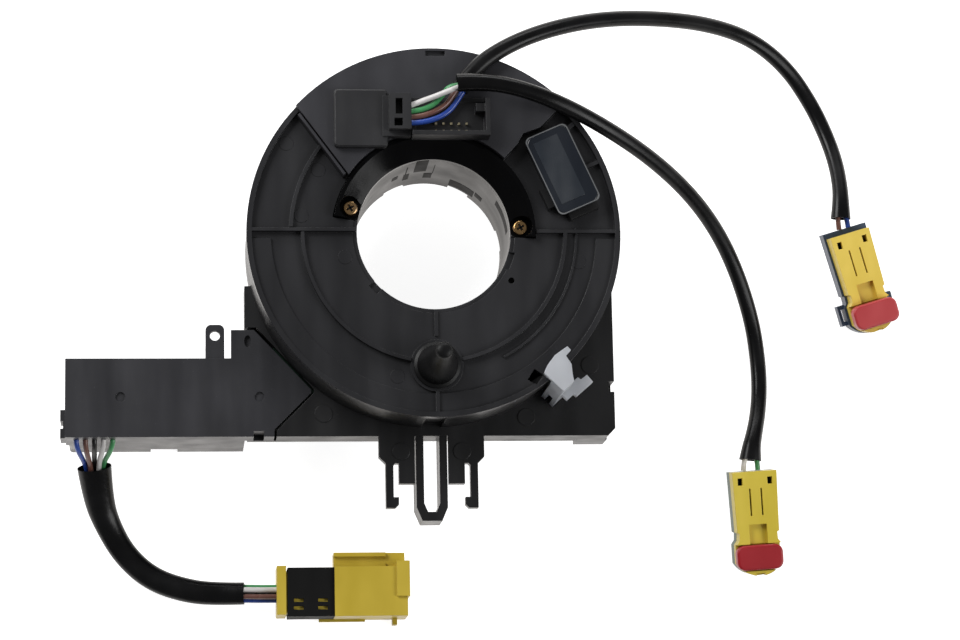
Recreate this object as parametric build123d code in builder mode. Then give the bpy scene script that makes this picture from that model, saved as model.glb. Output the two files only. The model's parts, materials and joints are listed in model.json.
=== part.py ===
"""Steering clock spring with its angle sensor, leads and plugs, lying on its back.

Millimetres. +Z is the steering axis and points at the driver, +X is the driver's right
and +Y is up. The origin is on the steering axis, level with the frame's front plate.
"""

import os
from math import acos, atan2, cos, degrees, dist, pi, radians, sin, tan

from build123d import *

os.makedirs("parts", exist_ok=True)

# Cassette and rotor
rotor_r = 53.4
wall_in = 0.4
wall_r = rotor_r - wall_in
wall_t = 2.4
wall_top = 18.0
bore_r = 22.0
sleeve_t = 2.4
running_gap = 0.35
plate_top = 0.0
plate_t = 2.4
frame_depth = 7.6
back_t = 2.4
sleeve_reach = 1.4
castle_h = 2.2
castle_w = 6.5
lift_gap = 0.3
floor_t = 1.3
flange_t = 1.8
rim_w = 1.5
rim_h = 3.2
rib_t = 1.0
rib_h = 1.7
fine_rib_t = 0.6
fine_rib_h = 0.7
outer_step_r = 46.5
outer_step_h = 0.8
ring_rib_r = 37.5
fine_rib_r = 40.8
lip_w = 1.2
lip_drop = 0.6
press_gap = 0.05

# Square lower half of the frame
frame_margin = 0.1
frame_half_w = rotor_r + frame_margin
frame_bottom = -55.4
frame_shoulder_y = -11.4
skirt_t = 2.2
corner_cut = 1.5
mark_r = 2.5
mark_h = 0.3
mark_places = [(-31.0, -48.8), (27.6, -50.0), (46.5, -34.8)]
foot_w = 10.3
foot_d = 6.0
foot_drop = 17.0
edge_notch_y = (-42.6, -39.5)
edge_notch_d = 1.6
wall_slot_w = 5.7
wall_slot_d = 1.3

# Fixing legs and loop
leg_outer_x = 15.2
leg_inner_x = 4.9
leg_t = 3.0
leg_shoulder = 6.0
leg_step = 1.9
leg_arm_w = 2.2
leg_arm_y = -76.2
leg_hook_w = 3.7
leg_hook_h = 3.1
leg_slot_w = 1.6
leg_block_y = -69.2
leg_mark_x = 8.8
leg_mark_y = -59.9
loop_half_w = 4.5
loop_bar = 2.2
loop_end_bar = 2.6
loop_y = -79.9
loop_cut = 3.9
loop_d = 11.0
loop_drop = 0.6

# Sensor box
box_w = 51.3
box_gap = 0.1
box_right = -frame_half_w + box_gap
box_left = box_right - box_w
box_top_y = -32.6
box_deep = 28.0
box_wall = 2.0
box_parting = -15.0
box_step = 0.7
arrow_shoulder = (-50.8, -24.3)
arrow_tip_x = -34.5
arrow_tip_y = -42.2
arrow_tip_h = 1.0
arrow_foot = (-45.1, -53.4)
seam_gap = 0.7
tab_in = 8.6
tab_x = box_right - tab_in
tab_w = 5.4
tab_t = 2.0
tab_drop = 1.0
tab_hole_r = 1.45
tab_hole_in = 3.2
tab_reach = 10.0
dimple_r = 1.4
dimple_d = 0.6
board_t = 1.2
board_gap = 0.3
chip_h = 0.8
header_w = 12.2
header_h = 7.0
header_depth = 8.0

# Gears of the angle sensor
gear_module = 0.8
pressure_angle = 20
drive_teeth = 72
first_teeth = 22
second_teeth = 24
first_angle = 205
second_angle = 240
gear_backlash = 0.2
gear_h = 2.0
gear_float = 0.3
gear_pin_r = 1.5
gear_pin_h = 1.0
gear_fit = 0.06
gear_cup_r = 4.2
gear_cup_h = 0.3
magnet_r = 3.0
magnet_h = 1.4

# Flat cable
cable_t = 0.3
cable_h = 14.0
cable_half_turns = 14
cable_first_r = 27.0
cable_last_r = 48.4
cable_gap = 0.4
anchor_w = 4.0

# Upper side of the rotor
plateau_h = 4.4
plateau_inner_r = 29.2
plateau_left = [(-40.5, 38.1), (-38.3, 35.1), (-19.5, 9.5)]
plateau_right = [(38.2, 38.4), (36.1, 35.9), (30.7, 30.2), (25.8, 28.4), (24.0, 25.2), (20.0, 21.0)]
collar_r = 28.9
collar_low = 1.7
collar_h = 5.6
collar_lip = 1.2
collar_span = (-3, 171)
screw_r = 2.15
screw_shank_r = 1.0
screw_head_h = 1.6
screw_circle_r = 24.9
screw_angles = (163, 4)
screw_fit = 0.05
cross_l = 2.3
cross_w = 0.6
cross_d = 0.9
cover_x = (-28.5, -13.2)
cover_y = (23.6, 40.5)
cover_h = 2.4
latch_x = (-13.0, -6.7)
latch_y = (28.1, 38.5)
latch_h = 5.8
socket_x = (-6.5, 15.7)
socket_y = (26.2, 38.4)
socket_h = 6.4
socket_wall = 1.3
socket_floor = 1.2
sill_h = 1.4
pin_c = (4.9, 29.4)
pin_pitch = 2.2
pin_w = 0.6
pin_h = 2.4
window_c = (36.7, 17.6)
window_turn = 24
window_w = 13.1
window_l = 24.5
window_t = 1.2
window_corner = 2.8
window_lip = 0.5
bezel_h = 4.4
bezel_wall = 1.6
bezel_gap = 0.3
cone_c = (0.2, -38.5)
cone_boss_r = 7.5
cone_boss_h = 1.0
cone_r = 5.75
cone_tip_r = 2.5
cone_h = 24.0
cone_foot_w = 0.9

# Transport lock, in radius and across from its own direction
lock_turn = -47
lock_gap = 0.25
lock_clear = 0.5
lock_depth = 4.5
lock_reach = (rotor_r + lock_clear, rotor_r + lock_clear + lock_depth)
lock_across = (-6.2, -2.0)
lock_leg_t = 1.4
lock_web_z = 8.0
lock_over = 0.4
lock_head_t = 1.8
lock_arm_z = 15.0
lock_arm_t = 2.0

# Leads and loom
wire_d = 1.55
wire_side = 0.9
sleeve_d = 4.4
sleeve_bore = 3.9
loom_d = 8.0
loom_bore = 6.8
loom_wire_d = 1.5
loom_z = -5.5
loom_x = -96.4
loom_pitch = 2.6

# Squib plugs
plug_l = 30.8
plug_step_u = 17.8
plug_front_t = 4.9
plug_back_t = 4.3
plug_wall = 1.3
plug_roof = 1.3
plug_wire_w = 4.2
first_flange_u = -1.6
wire_end_gap = 0.04
plug_room_u = 14.6
plug_slot = (5.0, 13.0)
plug_slot_v = 1.7
plug_slot_w = 0.45
plug_lock_u = (21.6, 29.0)
plug_lock_w = 13.8
plug_lock_t = 2.2
plug_lock_gap = 0.25
plug_lock_travel = 2.5
plug_leg_v = (3.2, 5.2)
plug_leg_h = 2.65
plug_mouth_u = 24.6
plug_mouth_r = 3.0
plug_mouth_h = 3.0
contact_v = 1.25
contact_w = 0.8
contact_t = 0.6
plug_tilt = 10
first_plug_at = (127.6, 9.4)
first_plug_turn = -73
second_plug_at = (96.3, -62.6)
second_plug_turn = -86.2

# Vehicle side plug
loom_plug_x = (-44.1, -6.2)
loom_plug_y = (-105.4, -91.0)
loom_plug_h = 12.0
loom_flange_t = 2.7
loom_neck_inset = 1.2
retainer_x = (-41.0, -27.4)
retainer_t = 1.0
retainer_slot = (2.8, 1.0)
way_pitch = 2.7
way_w = 2.0
way_depth = 16.0

# Levels that follow from the sizes above
floor_z = wall_top + lift_gap
floor_top = floor_z + floor_t
seat_z = floor_z - flange_t
sleeve_r = bore_r + sleeve_t
hole_r = sleeve_r + running_gap
skirt_z = plate_top - frame_depth
plate_under = plate_top - plate_t
back_z = skirt_z - back_t
box_back = plate_top - box_deep
plateau_z = floor_top + plateau_h
gear_z = skirt_z + 2 * gear_float
cable_z = (plate_top + cable_gap, plate_top + cable_gap + cable_h)
sleeve_back_z = back_z - sleeve_reach
lie_z = box_back


def block(x, y, z, mode=Mode.ADD, on=Plane.XY):
    """Add or cut a block that spans x, y and z of a plane."""
    with BuildSketch(on.offset(z[0])) as base:
        with Locations(((x[0] + x[1]) / 2, (y[0] + y[1]) / 2)):
            Rectangle(x[1] - x[0], y[1] - y[0])
    extrude(base.sketch, amount=z[1] - z[0], mode=mode)


def prism(points, z, mode=Mode.ADD, on=Plane.XY):
    """Add or cut a straight prism on a closed outline of a plane."""
    with BuildSketch(on.offset(z[0])) as base:
        with BuildLine():
            Polyline(*points, close=True)
        make_face()
    extrude(base.sketch, amount=z[1] - z[0], mode=mode)


def ring(outer, inner, z, mode=Mode.ADD, centre=(0, 0), on=Plane.XY):
    """Add or cut a ring, or a disc where inner is 0."""
    with BuildSketch(on.offset(z[0])) as base:
        with Locations(centre):
            Circle(outer)
            if inner:
                Circle(inner, mode=Mode.SUBTRACT)
    extrude(base.sketch, amount=z[1] - z[0], mode=mode)


def sector(outer, inner, start, end, z, mode=Mode.ADD):
    """Add or cut part of an upright ring, from one angle to another in degrees."""
    with BuildSketch(Plane.XY.offset(z[0])) as base:
        with BuildLine():
            CenterArc((0, 0), outer, start, end - start)
            CenterArc((0, 0), inner, start, end - start)
            Line(polar(inner, start), polar(outer, start))
            Line(polar(inner, end), polar(outer, end))
        make_face()
    extrude(base.sketch, amount=z[1] - z[0], mode=mode)


def polar(r, angle):
    """The point at a radius and an angle in degrees."""
    return (r * cos(radians(angle)), r * sin(radians(angle)))


def frame_outline(inset):
    """Add the frame's outline, a half round above and a square below, drawn in by inset."""
    left = -frame_half_w + inset
    right = frame_half_w - inset
    bottom = frame_bottom + inset
    shoulder = frame_shoulder_y - inset
    Circle(wall_r - inset)
    with Locations((0, (bottom + shoulder) / 2)):
        Rectangle(right - left, shoulder - bottom)
    with Locations((right, bottom)):
        Rectangle(2 * corner_cut, 2 * corner_cut, rotation=45, mode=Mode.SUBTRACT)


def arrow_points(grow):
    """Corners of the sensor box's pointed end, grown outwards by grow."""
    far = box_right - grow - 2 * box_wall
    low = frame_bottom - 1 if grow else frame_bottom
    tip = arrow_tip_x + grow * 1.2
    return [
        (far, low),
        (arrow_foot[0] + grow, low),
        (arrow_foot[0] + grow, arrow_foot[1] - grow * 0.4),
        (tip, arrow_tip_y - arrow_tip_h / 2),
        (tip, arrow_tip_y + arrow_tip_h / 2),
        (arrow_shoulder[0] + grow, arrow_shoulder[1] + grow),
        (far, arrow_shoulder[1] + grow),
    ]


# The lock's own plane: x runs outwards along its direction, y across
lock_plane = Plane(origin=(0, 0, plate_top), x_dir=(*polar(1, lock_turn), 0), z_dir=(0, 0, 1))
pocket_reach = (lock_reach[0] - lock_gap, lock_reach[1] + lock_gap)
pocket_across = (lock_across[0] - lock_gap, lock_across[1] + lock_gap)

# Sensor gears: a tooth space of each small one faces a tooth of the big one
drive_r = gear_module * drive_teeth / 2
first_r = gear_module * first_teeth / 2
second_r = gear_module * second_teeth / 2
first_at = polar(drive_r + first_r, first_angle)
second_at = polar(drive_r + second_r, second_angle)


# Frame with the cassette wall, the fixing legs and the loop
foot_x = frame_half_w - foot_w
anchor_outer = wall_r - wall_t + press_gap
with BuildPart() as base_frame:
    with BuildSketch(Plane.XY.offset(skirt_z)):
        frame_outline(0)
    extrude(amount=frame_depth)
    with BuildSketch(Plane.XY.offset(skirt_z)):
        frame_outline(skirt_t)
    extrude(amount=frame_depth - plate_t, mode=Mode.SUBTRACT)
    ring(wall_r, wall_r - wall_t, (plate_top, wall_top))
    ring(hole_r, 0, (skirt_z, plate_top), Mode.SUBTRACT)
    prism(arrow_points(seam_gap), (skirt_z, plate_top), Mode.SUBTRACT)
    # anchor block for the outer end of the flat cable
    block((cable_last_r + cable_t + press_gap, anchor_outer), (-anchor_w, 0), (plate_top, cable_z[1]))
    # slot in the wall at the bottom, and the notch in the right edge
    block(
        (-wall_slot_w / 2, wall_slot_w / 2),
        (-wall_r - 1, -wall_r + wall_slot_d),
        (plate_top, wall_top),
        Mode.SUBTRACT,
    )
    block((frame_half_w - edge_notch_d, frame_half_w + 1), edge_notch_y, (skirt_z, plate_top), Mode.SUBTRACT)
    # pocket that takes the transport lock
    block(pocket_reach, pocket_across, (-plate_t, 0), Mode.SUBTRACT, lock_plane)
    # round moulding marks on the plate
    for place in mark_places:
        ring(mark_r, 0, (plate_top, plate_top + mark_h), centre=place)
    # corner foot behind the plate
    block(
        (foot_x, frame_half_w - corner_cut),
        (frame_bottom, frame_bottom + foot_d),
        (plate_top - foot_drop, skirt_z),
    )
    # legs
    for side in (-1, 1):
        outer = side * leg_outer_x
        arm = outer - side * leg_step
        arm_in = arm - side * leg_arm_w
        inner = side * leg_inner_x
        slot_in = arm_in - side * leg_slot_w
        hook = arm - side * leg_hook_w
        shoulder_y = frame_bottom - leg_shoulder
        neck_y = shoulder_y - leg_step
        prism(
            [
                (outer, frame_bottom + 1),
                (outer, shoulder_y),
                (arm, neck_y),
                (arm, leg_arm_y),
                (hook + side * 1.0, leg_arm_y),
                (hook, leg_arm_y + 1.0),
                (hook, leg_arm_y + leg_hook_h),
                (arm_in, leg_arm_y + leg_hook_h),
                (arm_in, neck_y - 0.6),
                (arm_in - side * 0.5, neck_y),
                (slot_in, neck_y),
                (slot_in, leg_block_y),
                (inner, leg_block_y),
                (inner, frame_bottom + 1),
            ],
            (plate_top - leg_t, plate_top),
        )
        ring(mark_r, 0, (plate_top, plate_top + mark_h), centre=(side * leg_mark_x, leg_mark_y))
    # loop between the legs
    loop_z = (plate_top - loop_d, plate_top - loop_drop)
    for half, low, cut, mode in (
        (loop_half_w, loop_y, loop_cut, Mode.ADD),
        (loop_half_w - loop_bar, loop_y + loop_end_bar, loop_cut - loop_bar / 1.6, Mode.SUBTRACT),
    ):
        narrow = half - cut * 0.42
        prism(
            [
                (-half, frame_bottom),
                (-half, low + cut),
                (-narrow, low),
                (narrow, low),
                (half, low + cut),
                (half, frame_bottom),
            ],
            loop_z,
            mode,
        )
base_frame.part.label = "base_frame"
export_step(base_frame.part, "parts/base_frame.step")


# Back plate that closes the frame and carries the pins of the small gears
with BuildPart() as back_plate:
    with BuildSketch(Plane.XY.offset(back_z)):
        frame_outline(0)
        Circle(hole_r, mode=Mode.SUBTRACT)
    extrude(amount=back_t)
    block(
        (-frame_half_w - 1, box_right + seam_gap),
        (frame_bottom - 1, arrow_shoulder[1] + seam_gap),
        (back_z, skirt_z),
        Mode.SUBTRACT,
    )
    block(
        (foot_x - seam_gap / 2, frame_half_w),
        (frame_bottom - 1, frame_bottom + foot_d + seam_gap / 2),
        (back_z, skirt_z),
        Mode.SUBTRACT,
    )
    # stiffening ribs, kept clear of the box's side
    ring(hole_r + 2, hole_r, (back_z - rib_t, back_z))
    with BuildSketch(Plane.XY.offset(back_z)):
        with PolarLocations((hole_r + wall_r) / 2, 12, start_angle=15):
            Rectangle(wall_r - hole_r - 6, rib_t)
    extrude(amount=-rib_t)
    for centre in (first_at, second_at):
        ring(gear_pin_r, 0, (skirt_z, skirt_z + gear_pin_h), centre=centre)
back_plate.part.label = "back_plate"
export_step(back_plate.part, "parts/back_plate.step")


# Sensor box, lower half
box_mid = ((box_left + box_right) / 2, (frame_bottom + box_top_y) / 2)
with BuildPart() as sensor_box:
    block((box_left + box_step, box_right), (frame_bottom, box_top_y), (box_back, box_parting))
    block(
        (box_left + box_step + box_wall, box_right - box_wall),
        (frame_bottom + box_wall, box_top_y - box_wall),
        (box_back + box_wall, box_parting),
        Mode.SUBTRACT,
    )
    # shallow recess at the lower edge, and round marks on the back
    block(
        (box_mid[0] - 1.4, box_mid[0] + 6.4),
        (frame_bottom - 1, frame_bottom + 0.8),
        (box_back - 1, box_back + 5),
        Mode.SUBTRACT,
    )
    with BuildSketch(Plane.XY.offset(box_back)):
        with Locations(box_mid):
            with GridLocations(22, 10, 2, 2):
                Circle(dimple_r)
    extrude(amount=dimple_d, mode=Mode.SUBTRACT)
    fillet(sensor_box.edges().filter_by(Axis.Z).group_by(Axis.X)[0], 0.8)
sensor_box.part.label = "sensor_box"
export_step(sensor_box.part, "parts/sensor_box.step")


# Sensor box, upper half, with the pointed end that reaches into the frame
loom_xs = [loom_x + loom_pitch * k for k in (-2, -1, 0, 1, 2)]
with BuildPart() as box_cover:
    block((box_left, box_right), (frame_bottom, box_top_y), (box_parting, plate_top))
    block(
        (box_left + box_wall, box_right - box_wall),
        (frame_bottom + box_wall, box_top_y - box_wall),
        (box_parting, plate_under),
        Mode.SUBTRACT,
    )
    prism(arrow_points(0), (plate_under, plate_top))
    block((box_right - 0.5, arrow_foot[0]), (frame_bottom, frame_bottom + box_wall), (skirt_z, plate_under))
    # passage for the circuit board, from the box into the frame
    block(
        (box_right - box_wall - 0.5, box_right + 0.5),
        (frame_bottom + box_wall, box_top_y - box_wall),
        (skirt_z, plate_under),
        Mode.SUBTRACT,
    )
    # wall beside the board's passage, up to the shoulder
    block((box_right - 1.0, box_right + 1.2), (box_top_y - 1.0, arrow_shoulder[1] - 1), (skirt_z, plate_under))
    # fixing tab
    tab_y = box_top_y + tab_reach
    tab_z = plate_top - tab_drop
    with BuildSketch(Plane.XY.offset(tab_z - tab_t)):
        with Locations((tab_x, (box_top_y + tab_y) / 2 - 0.5)):
            Rectangle(tab_w, tab_reach + 1)
        fillet(vertices().group_by(Axis.Y)[-1], 1.6)
        with Locations((tab_x, tab_y - tab_hole_in)):
            Circle(tab_hole_r, mode=Mode.SUBTRACT)
    extrude(amount=tab_t)
    block(
        (tab_x - tab_w / 2, tab_x + tab_w / 2),
        (box_top_y - 0.5, box_top_y + 4.1),
        (tab_z - 5, tab_z),
    )
    # dimples, recess and latches on the outside
    for place in ((-89.0, -43.8), (-49.3, -43.8)):
        ring(dimple_r, 0, (plate_top - dimple_d, plate_top), Mode.SUBTRACT, place)
    with BuildSketch(Plane.XY.offset(plate_top)):
        with Locations((-52.6, -27.6)):
            Ellipse(1.0, 1.7)
    extrude(amount=-1.2, mode=Mode.SUBTRACT)
    side_latch_t = 1.4
    block((box_left - side_latch_t, box_left), (frame_bottom + 0.2, -47.0), (-12, -3))
    block((box_left - side_latch_t - 1, box_left - 0.6), (-52.4, -50.2), (-13, -2), Mode.SUBTRACT)
    block((-51.0, -48.0), (frame_bottom - 1, frame_bottom + 1.6), (skirt_z, plate_top + 1), Mode.SUBTRACT)
    # mouth for the wires of the vehicle side
    for x in loom_xs:
        with BuildSketch(Plane.XZ.offset(-frame_bottom + 1)) as mouth:
            with Locations((x, loom_z)):
                Circle(loom_wire_d / 2)
        extrude(mouth.sketch, amount=-box_wall - 2, mode=Mode.SUBTRACT)
box_cover.part.label = "box_cover"
export_step(box_cover.part, "parts/box_cover.step")


# Circuit board of the angle sensor, with its chips and the wire header
board_top = plate_under - board_gap
board_z = board_top - board_t
board_left = box_left + box_wall + 0.5
board_right = -40.0
board_y = (frame_bottom + box_wall + 0.5, box_top_y - box_wall - 0.5)
with BuildPart() as circuit_board:
    block((board_left, board_right), board_y, (board_z, board_top))
    prism(
        [
            (board_right - 12, board_y[1]),
            (board_right - 3.5, board_y[1] + 7.5),
            (first_at[0] + 4.5, first_at[1] + 2.0),
            (second_at[0] + 5.0, second_at[1] + 3.0),
            (second_at[0] + 5.0, second_at[1] - 5.0),
            (board_right, board_y[0]),
        ],
        (board_z, board_top),
    )
circuit_board.part.label = "circuit_board"
export_step(circuit_board.part, "parts/circuit_board.step")

sensor_chip_h = 0.5
with BuildPart() as board_chips:
    with BuildSketch(Plane.XY.offset(board_z)):
        with Locations((-78, -43), (-66, -48)):
            Rectangle(7, 7)
        with Locations((-60, -39), (-84, -39)):
            Rectangle(4, 5)
    extrude(amount=-chip_h)
    with BuildSketch(Plane.XY.offset(board_z)):
        with Locations(first_at, second_at):
            Rectangle(2.2, 2.2)
    extrude(amount=-sensor_chip_h)
board_chips.part.label = "board_chips"
export_step(board_chips.part, "parts/board_chips.step")

header_y = frame_bottom + box_wall + 0.6
with BuildPart() as wire_header:
    block(
        (loom_x - header_w / 2, loom_x + header_w / 2),
        (header_y, header_y + header_depth),
        (board_z - header_h, board_z),
    )
    # strain relief that closes the mouth and holds the wires
    for x in loom_xs:
        with BuildSketch(Plane.XZ.offset(-frame_bottom)) as plug_in:
            with Locations((x, loom_z)):
                Circle(loom_wire_d / 2 - press_gap)
        extrude(plug_in.sketch, amount=-(header_y - frame_bottom) - 0.1)
wire_header.part.label = "wire_header"
export_step(wire_header.part, "parts/wire_header.step")


def tooth_half_width(r, teeth):
    """Half the width of an involute tooth at radius r, with the backlash taken off."""
    pitch_r = gear_module * teeth / 2
    base_r = pitch_r * cos(radians(pressure_angle))
    at = acos(min(1, base_r / max(r, base_r)))
    pitch_at = radians(pressure_angle)
    half_angle = pi / (2 * teeth) + (tan(pitch_at) - pitch_at) - (tan(at) - at)
    return r * half_angle - gear_backlash / 2


def gear(teeth, start, z, centre=(0, 0)):
    """Add a spur gear whose first tooth stands at the angle start."""
    pitch_r = gear_module * teeth / 2
    tip_r = pitch_r + gear_module * 0.95
    root_r = pitch_r - gear_module * 1.25
    tip_w = tooth_half_width(tip_r, teeth)
    mid_w = tooth_half_width(pitch_r, teeth)
    root_w = tooth_half_width(root_r, teeth)
    with BuildSketch() as tooth:
        with BuildLine():
            Polyline(
                (root_r - gear_module, -root_w),
                (root_r, -root_w),
                (pitch_r, -mid_w),
                (tip_r, -tip_w),
                (tip_r, tip_w),
                (pitch_r, mid_w),
                (root_r, root_w),
                (root_r - gear_module, root_w),
                close=True,
            )
        make_face()
    with BuildSketch(Plane(origin=(*centre, z[0]))) as profile:
        Circle(root_r)
        with PolarLocations(0, teeth, start_angle=start):
            add(tooth.sketch)
    extrude(profile.sketch, amount=z[1] - z[0])


# Rotor: sleeve, drive gear and disc
with BuildPart() as hub_sleeve:
    ring(sleeve_r, bore_r, (sleeve_back_z, seat_z))
    ring(collar_r - 0.3, bore_r, (seat_z - flange_t + 0.2, seat_z))
    # castellated back end
    with BuildSketch(Plane.XY.offset(sleeve_back_z)):
        with PolarLocations(bore_r + sleeve_t / 2, 7, start_angle=12):
            Rectangle(2 * sleeve_t, castle_w)
    extrude(amount=castle_h, mode=Mode.SUBTRACT)
    # anchor for the inner end of the flat cable
    sector(cable_first_r - press_gap, sleeve_r - 0.4, 0, 9, cable_z)
    for angle in screw_angles:
        centre = polar(screw_circle_r, angle)
        ring(screw_shank_r + screw_fit, 0, (seat_z - flange_t, seat_z + 1), Mode.SUBTRACT, centre)
hub_sleeve.part.label = "hub_sleeve"
export_step(hub_sleeve.part, "parts/hub_sleeve.step")

with BuildPart() as drive_gear:
    gear(drive_teeth, 0, (gear_z, gear_z + gear_h))
    ring(sleeve_r + 3, 0, (skirt_z + gear_float, plate_under - gear_float))
    ring(sleeve_r + press_gap, 0, (skirt_z, plate_under), Mode.SUBTRACT)
drive_gear.part.label = "drive_gear"
export_step(drive_gear.part, "parts/drive_gear.step")

cup_top = gear_z + gear_h + gear_cup_h
for name, teeth, angle, centre in (
    ("first_gear", first_teeth, first_angle, first_at),
    ("second_gear", second_teeth, second_angle, second_at),
):
    with BuildPart() as small_gear:
        gear(teeth, angle + 180 + 180 / teeth, (gear_z, gear_z + gear_h), centre)
        ring(gear_cup_r, 0, (skirt_z + gear_float, cup_top), centre=centre)
        ring(gear_pin_r + gear_fit, 0, (skirt_z, skirt_z + gear_pin_h + gear_float), Mode.SUBTRACT, centre)
        ring(magnet_r + press_gap, 0, (cup_top - magnet_h, cup_top), Mode.SUBTRACT, centre)
    small_gear.part.label = name
    export_step(small_gear.part, f"parts/{name}.step")

for name, centre in (("first_magnet", first_at), ("second_magnet", second_at)):
    with BuildPart() as magnet:
        ring(magnet_r, 0, (cup_top - magnet_h, cup_top), centre=centre)
    magnet.part.label = name
    export_step(magnet.part, f"parts/{name}.step")


# Window's own plane: x points away from the axis
window_plane = Plane(origin=(*window_c, floor_top), x_dir=(*polar(1, window_turn), 0), z_dir=(0, 0, 1))
bezel_w = window_w - 2 * window_lip
bezel_l = window_l - 2 * window_lip
bezel_tab_h = bezel_h - 1.6


# Disc of the rotor with the raised plateau
collar_start, collar_end = collar_span
with BuildPart() as rotor_disc:
    ring(rotor_r, bore_r, (floor_z, floor_top))
    ring(rotor_r, rotor_r - rim_w, (floor_z, floor_z + rim_h))
    sector(rotor_r - 1, outer_step_r, -178, -2, (floor_top, floor_top + outer_step_h))
    ring(sleeve_r, bore_r, (seat_z, floor_z))
    # concentric and radial ribs
    rib_z = (floor_top, floor_top + rib_h)
    fine_z = (floor_top, floor_top + fine_rib_h)
    rim_in = rotor_r - rim_w + 0.2
    sector(ring_rib_r + rib_t / 2, ring_rib_r - rib_t / 2, -180, 0, rib_z)
    sector(fine_rib_r + fine_rib_t / 2, fine_rib_r - fine_rib_t / 2, -62, 2, fine_z)
    sector(fine_rib_r + rib_t / 2, fine_rib_r - rib_t / 2, 137, 178, rib_z)
    block((-rim_in, -bore_r - 0.3), (0.2, 0.2 + rib_t), rib_z)
    block((bore_r + 0.3, rim_in), (-0.2, -0.2 + rib_t), rib_z)
    block((-0.3, 0.7), (-rim_in, -ring_rib_r - cone_boss_r), rib_z)
    block((-0.3, 0.7), (-ring_rib_r + cone_boss_r, -bore_r - 0.3), fine_z)
    sector(rim_in, fine_rib_r + 2, 37.5, 38.9, rib_z)
    sector(rim_in, fine_rib_r + 3, 23.0, 24.2, rib_z)
    # plateau between two broken lines
    with BuildSketch(Plane.XY.offset(floor_z)) as plateau:
        with BuildLine():
            Polyline(*plateau_left, *reversed(plateau_right), (0, 90), close=True)
        make_face()
        Circle(rotor_r, mode=Mode.INTERSECT)
        Circle(plateau_inner_r, mode=Mode.SUBTRACT)
    extrude(plateau.sketch, amount=plateau_z - floor_z)
    # room for the collar, the lower bore lip and the notches of the bore
    sector(plateau_inner_r, bore_r - 1, collar_start, collar_end, (seat_z - 1, plateau_z + 1), Mode.SUBTRACT)
    lip_z = (floor_top - lip_drop, floor_top)
    sector(bore_r + lip_w, bore_r - 1, collar_end, 360 + collar_start, lip_z, Mode.SUBTRACT)
    sector(bore_r + 2.2, bore_r - 1, 219, 227, (floor_z, floor_top + 1), Mode.SUBTRACT)
    sector(bore_r + 1.8, bore_r - 1, 333, 346, (floor_z, floor_top + 1), Mode.SUBTRACT)
    ring(0.9, 0, (floor_z - 0.1, floor_top + 1), Mode.SUBTRACT, (21.9, -13.8))
    # hole beside the transport lock, and the notch at the top of the rim
    with BuildSketch(Plane.XY.offset(floor_z - 1)) as finger:
        with Locations(Location((28.1, -41.9), -34)):
            Rectangle(3.0, 3.7)
    extrude(finger.sketch, amount=floor_t + 4, mode=Mode.SUBTRACT)
    block((-2.0, 3.6), (51.1, 52.6), (plateau_z - 1.2, plateau_z + 1), Mode.SUBTRACT)
    # seat of the cone
    ring(cone_boss_r, 0, (floor_top, floor_top + rib_h + 1), Mode.SUBTRACT, cone_c)
    ring(cone_boss_r, 0, (floor_top, floor_top + cone_boss_h), centre=cone_c)
    # room for the window's bezel
    with BuildSketch(window_plane) as bezel_room:
        RectangleRounded(bezel_w + 2 * bezel_gap, bezel_l + 2 * bezel_gap, window_corner)
    extrude(bezel_room.sketch, amount=plateau_h + 1, mode=Mode.SUBTRACT)
    block((-window_w / 2 - 1.8, 0), (-8.8, -2.2), (0, plateau_h + 1), Mode.SUBTRACT, window_plane)
    block((-3.8, 5.8), (-window_l / 2 - 2.0, 0), (0, plateau_h + 1), Mode.SUBTRACT, window_plane)
rotor_disc.part.label = "rotor_disc"
export_step(rotor_disc.part, "parts/rotor_disc.step")

# Glossy collar that drops from the plateau to the bore
collar_z = seat_z + collar_low
collar_top = seat_z + collar_h
with BuildPart() as hub_collar:
    with BuildSketch(Plane.XZ):
        with BuildLine():
            Polyline(
                (bore_r, seat_z),
                (collar_r, seat_z),
                (collar_r, collar_top),
                (collar_r - collar_lip, collar_top),
                (bore_r + 1.0, collar_z + 0.5),
                (bore_r, collar_z),
                close=True,
            )
        make_face()
    revolve(axis=Axis.Z, revolution_arc=360)
    sector(
        collar_r + 3,
        bore_r - 3,
        collar_end - 0.5,
        360 + collar_start + 0.5,
        (seat_z - 1, collar_top + 1),
        Mode.SUBTRACT,
    )
    for angle in screw_angles:
        centre = polar(screw_circle_r, angle)
        ring(screw_r + 1.0, 0, (collar_z, collar_top + 1), Mode.SUBTRACT, centre)
        ring(screw_shank_r + screw_fit, 0, (seat_z, collar_z + 1), Mode.SUBTRACT, centre)
hub_collar.part.label = "hub_collar"
export_step(hub_collar.part, "parts/hub_collar.step")

with BuildPart() as collar_screws:
    for angle in screw_angles:
        centre = polar(screw_circle_r, angle)
        ring(screw_r, 0, (collar_z, collar_z + screw_head_h), centre=centre)
        ring(screw_shank_r, 0, (seat_z - flange_t + 0.3, collar_z), centre=centre)
    fillet(collar_screws.edges().filter_by(GeomType.CIRCLE).group_by(Axis.Z)[-1], 0.6)
    for angle in screw_angles:
        with BuildSketch(Plane.XY.offset(collar_z + screw_head_h)) as cross:
            with Locations(polar(screw_circle_r, angle)):
                Rectangle(cross_l, cross_w, rotation=30)
                Rectangle(cross_w, cross_l, rotation=30)
        extrude(cross.sketch, amount=-cross_d, mode=Mode.SUBTRACT)
collar_screws.part.label = "collar_screws"
export_step(collar_screws.part, "parts/collar_screws.step")

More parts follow.
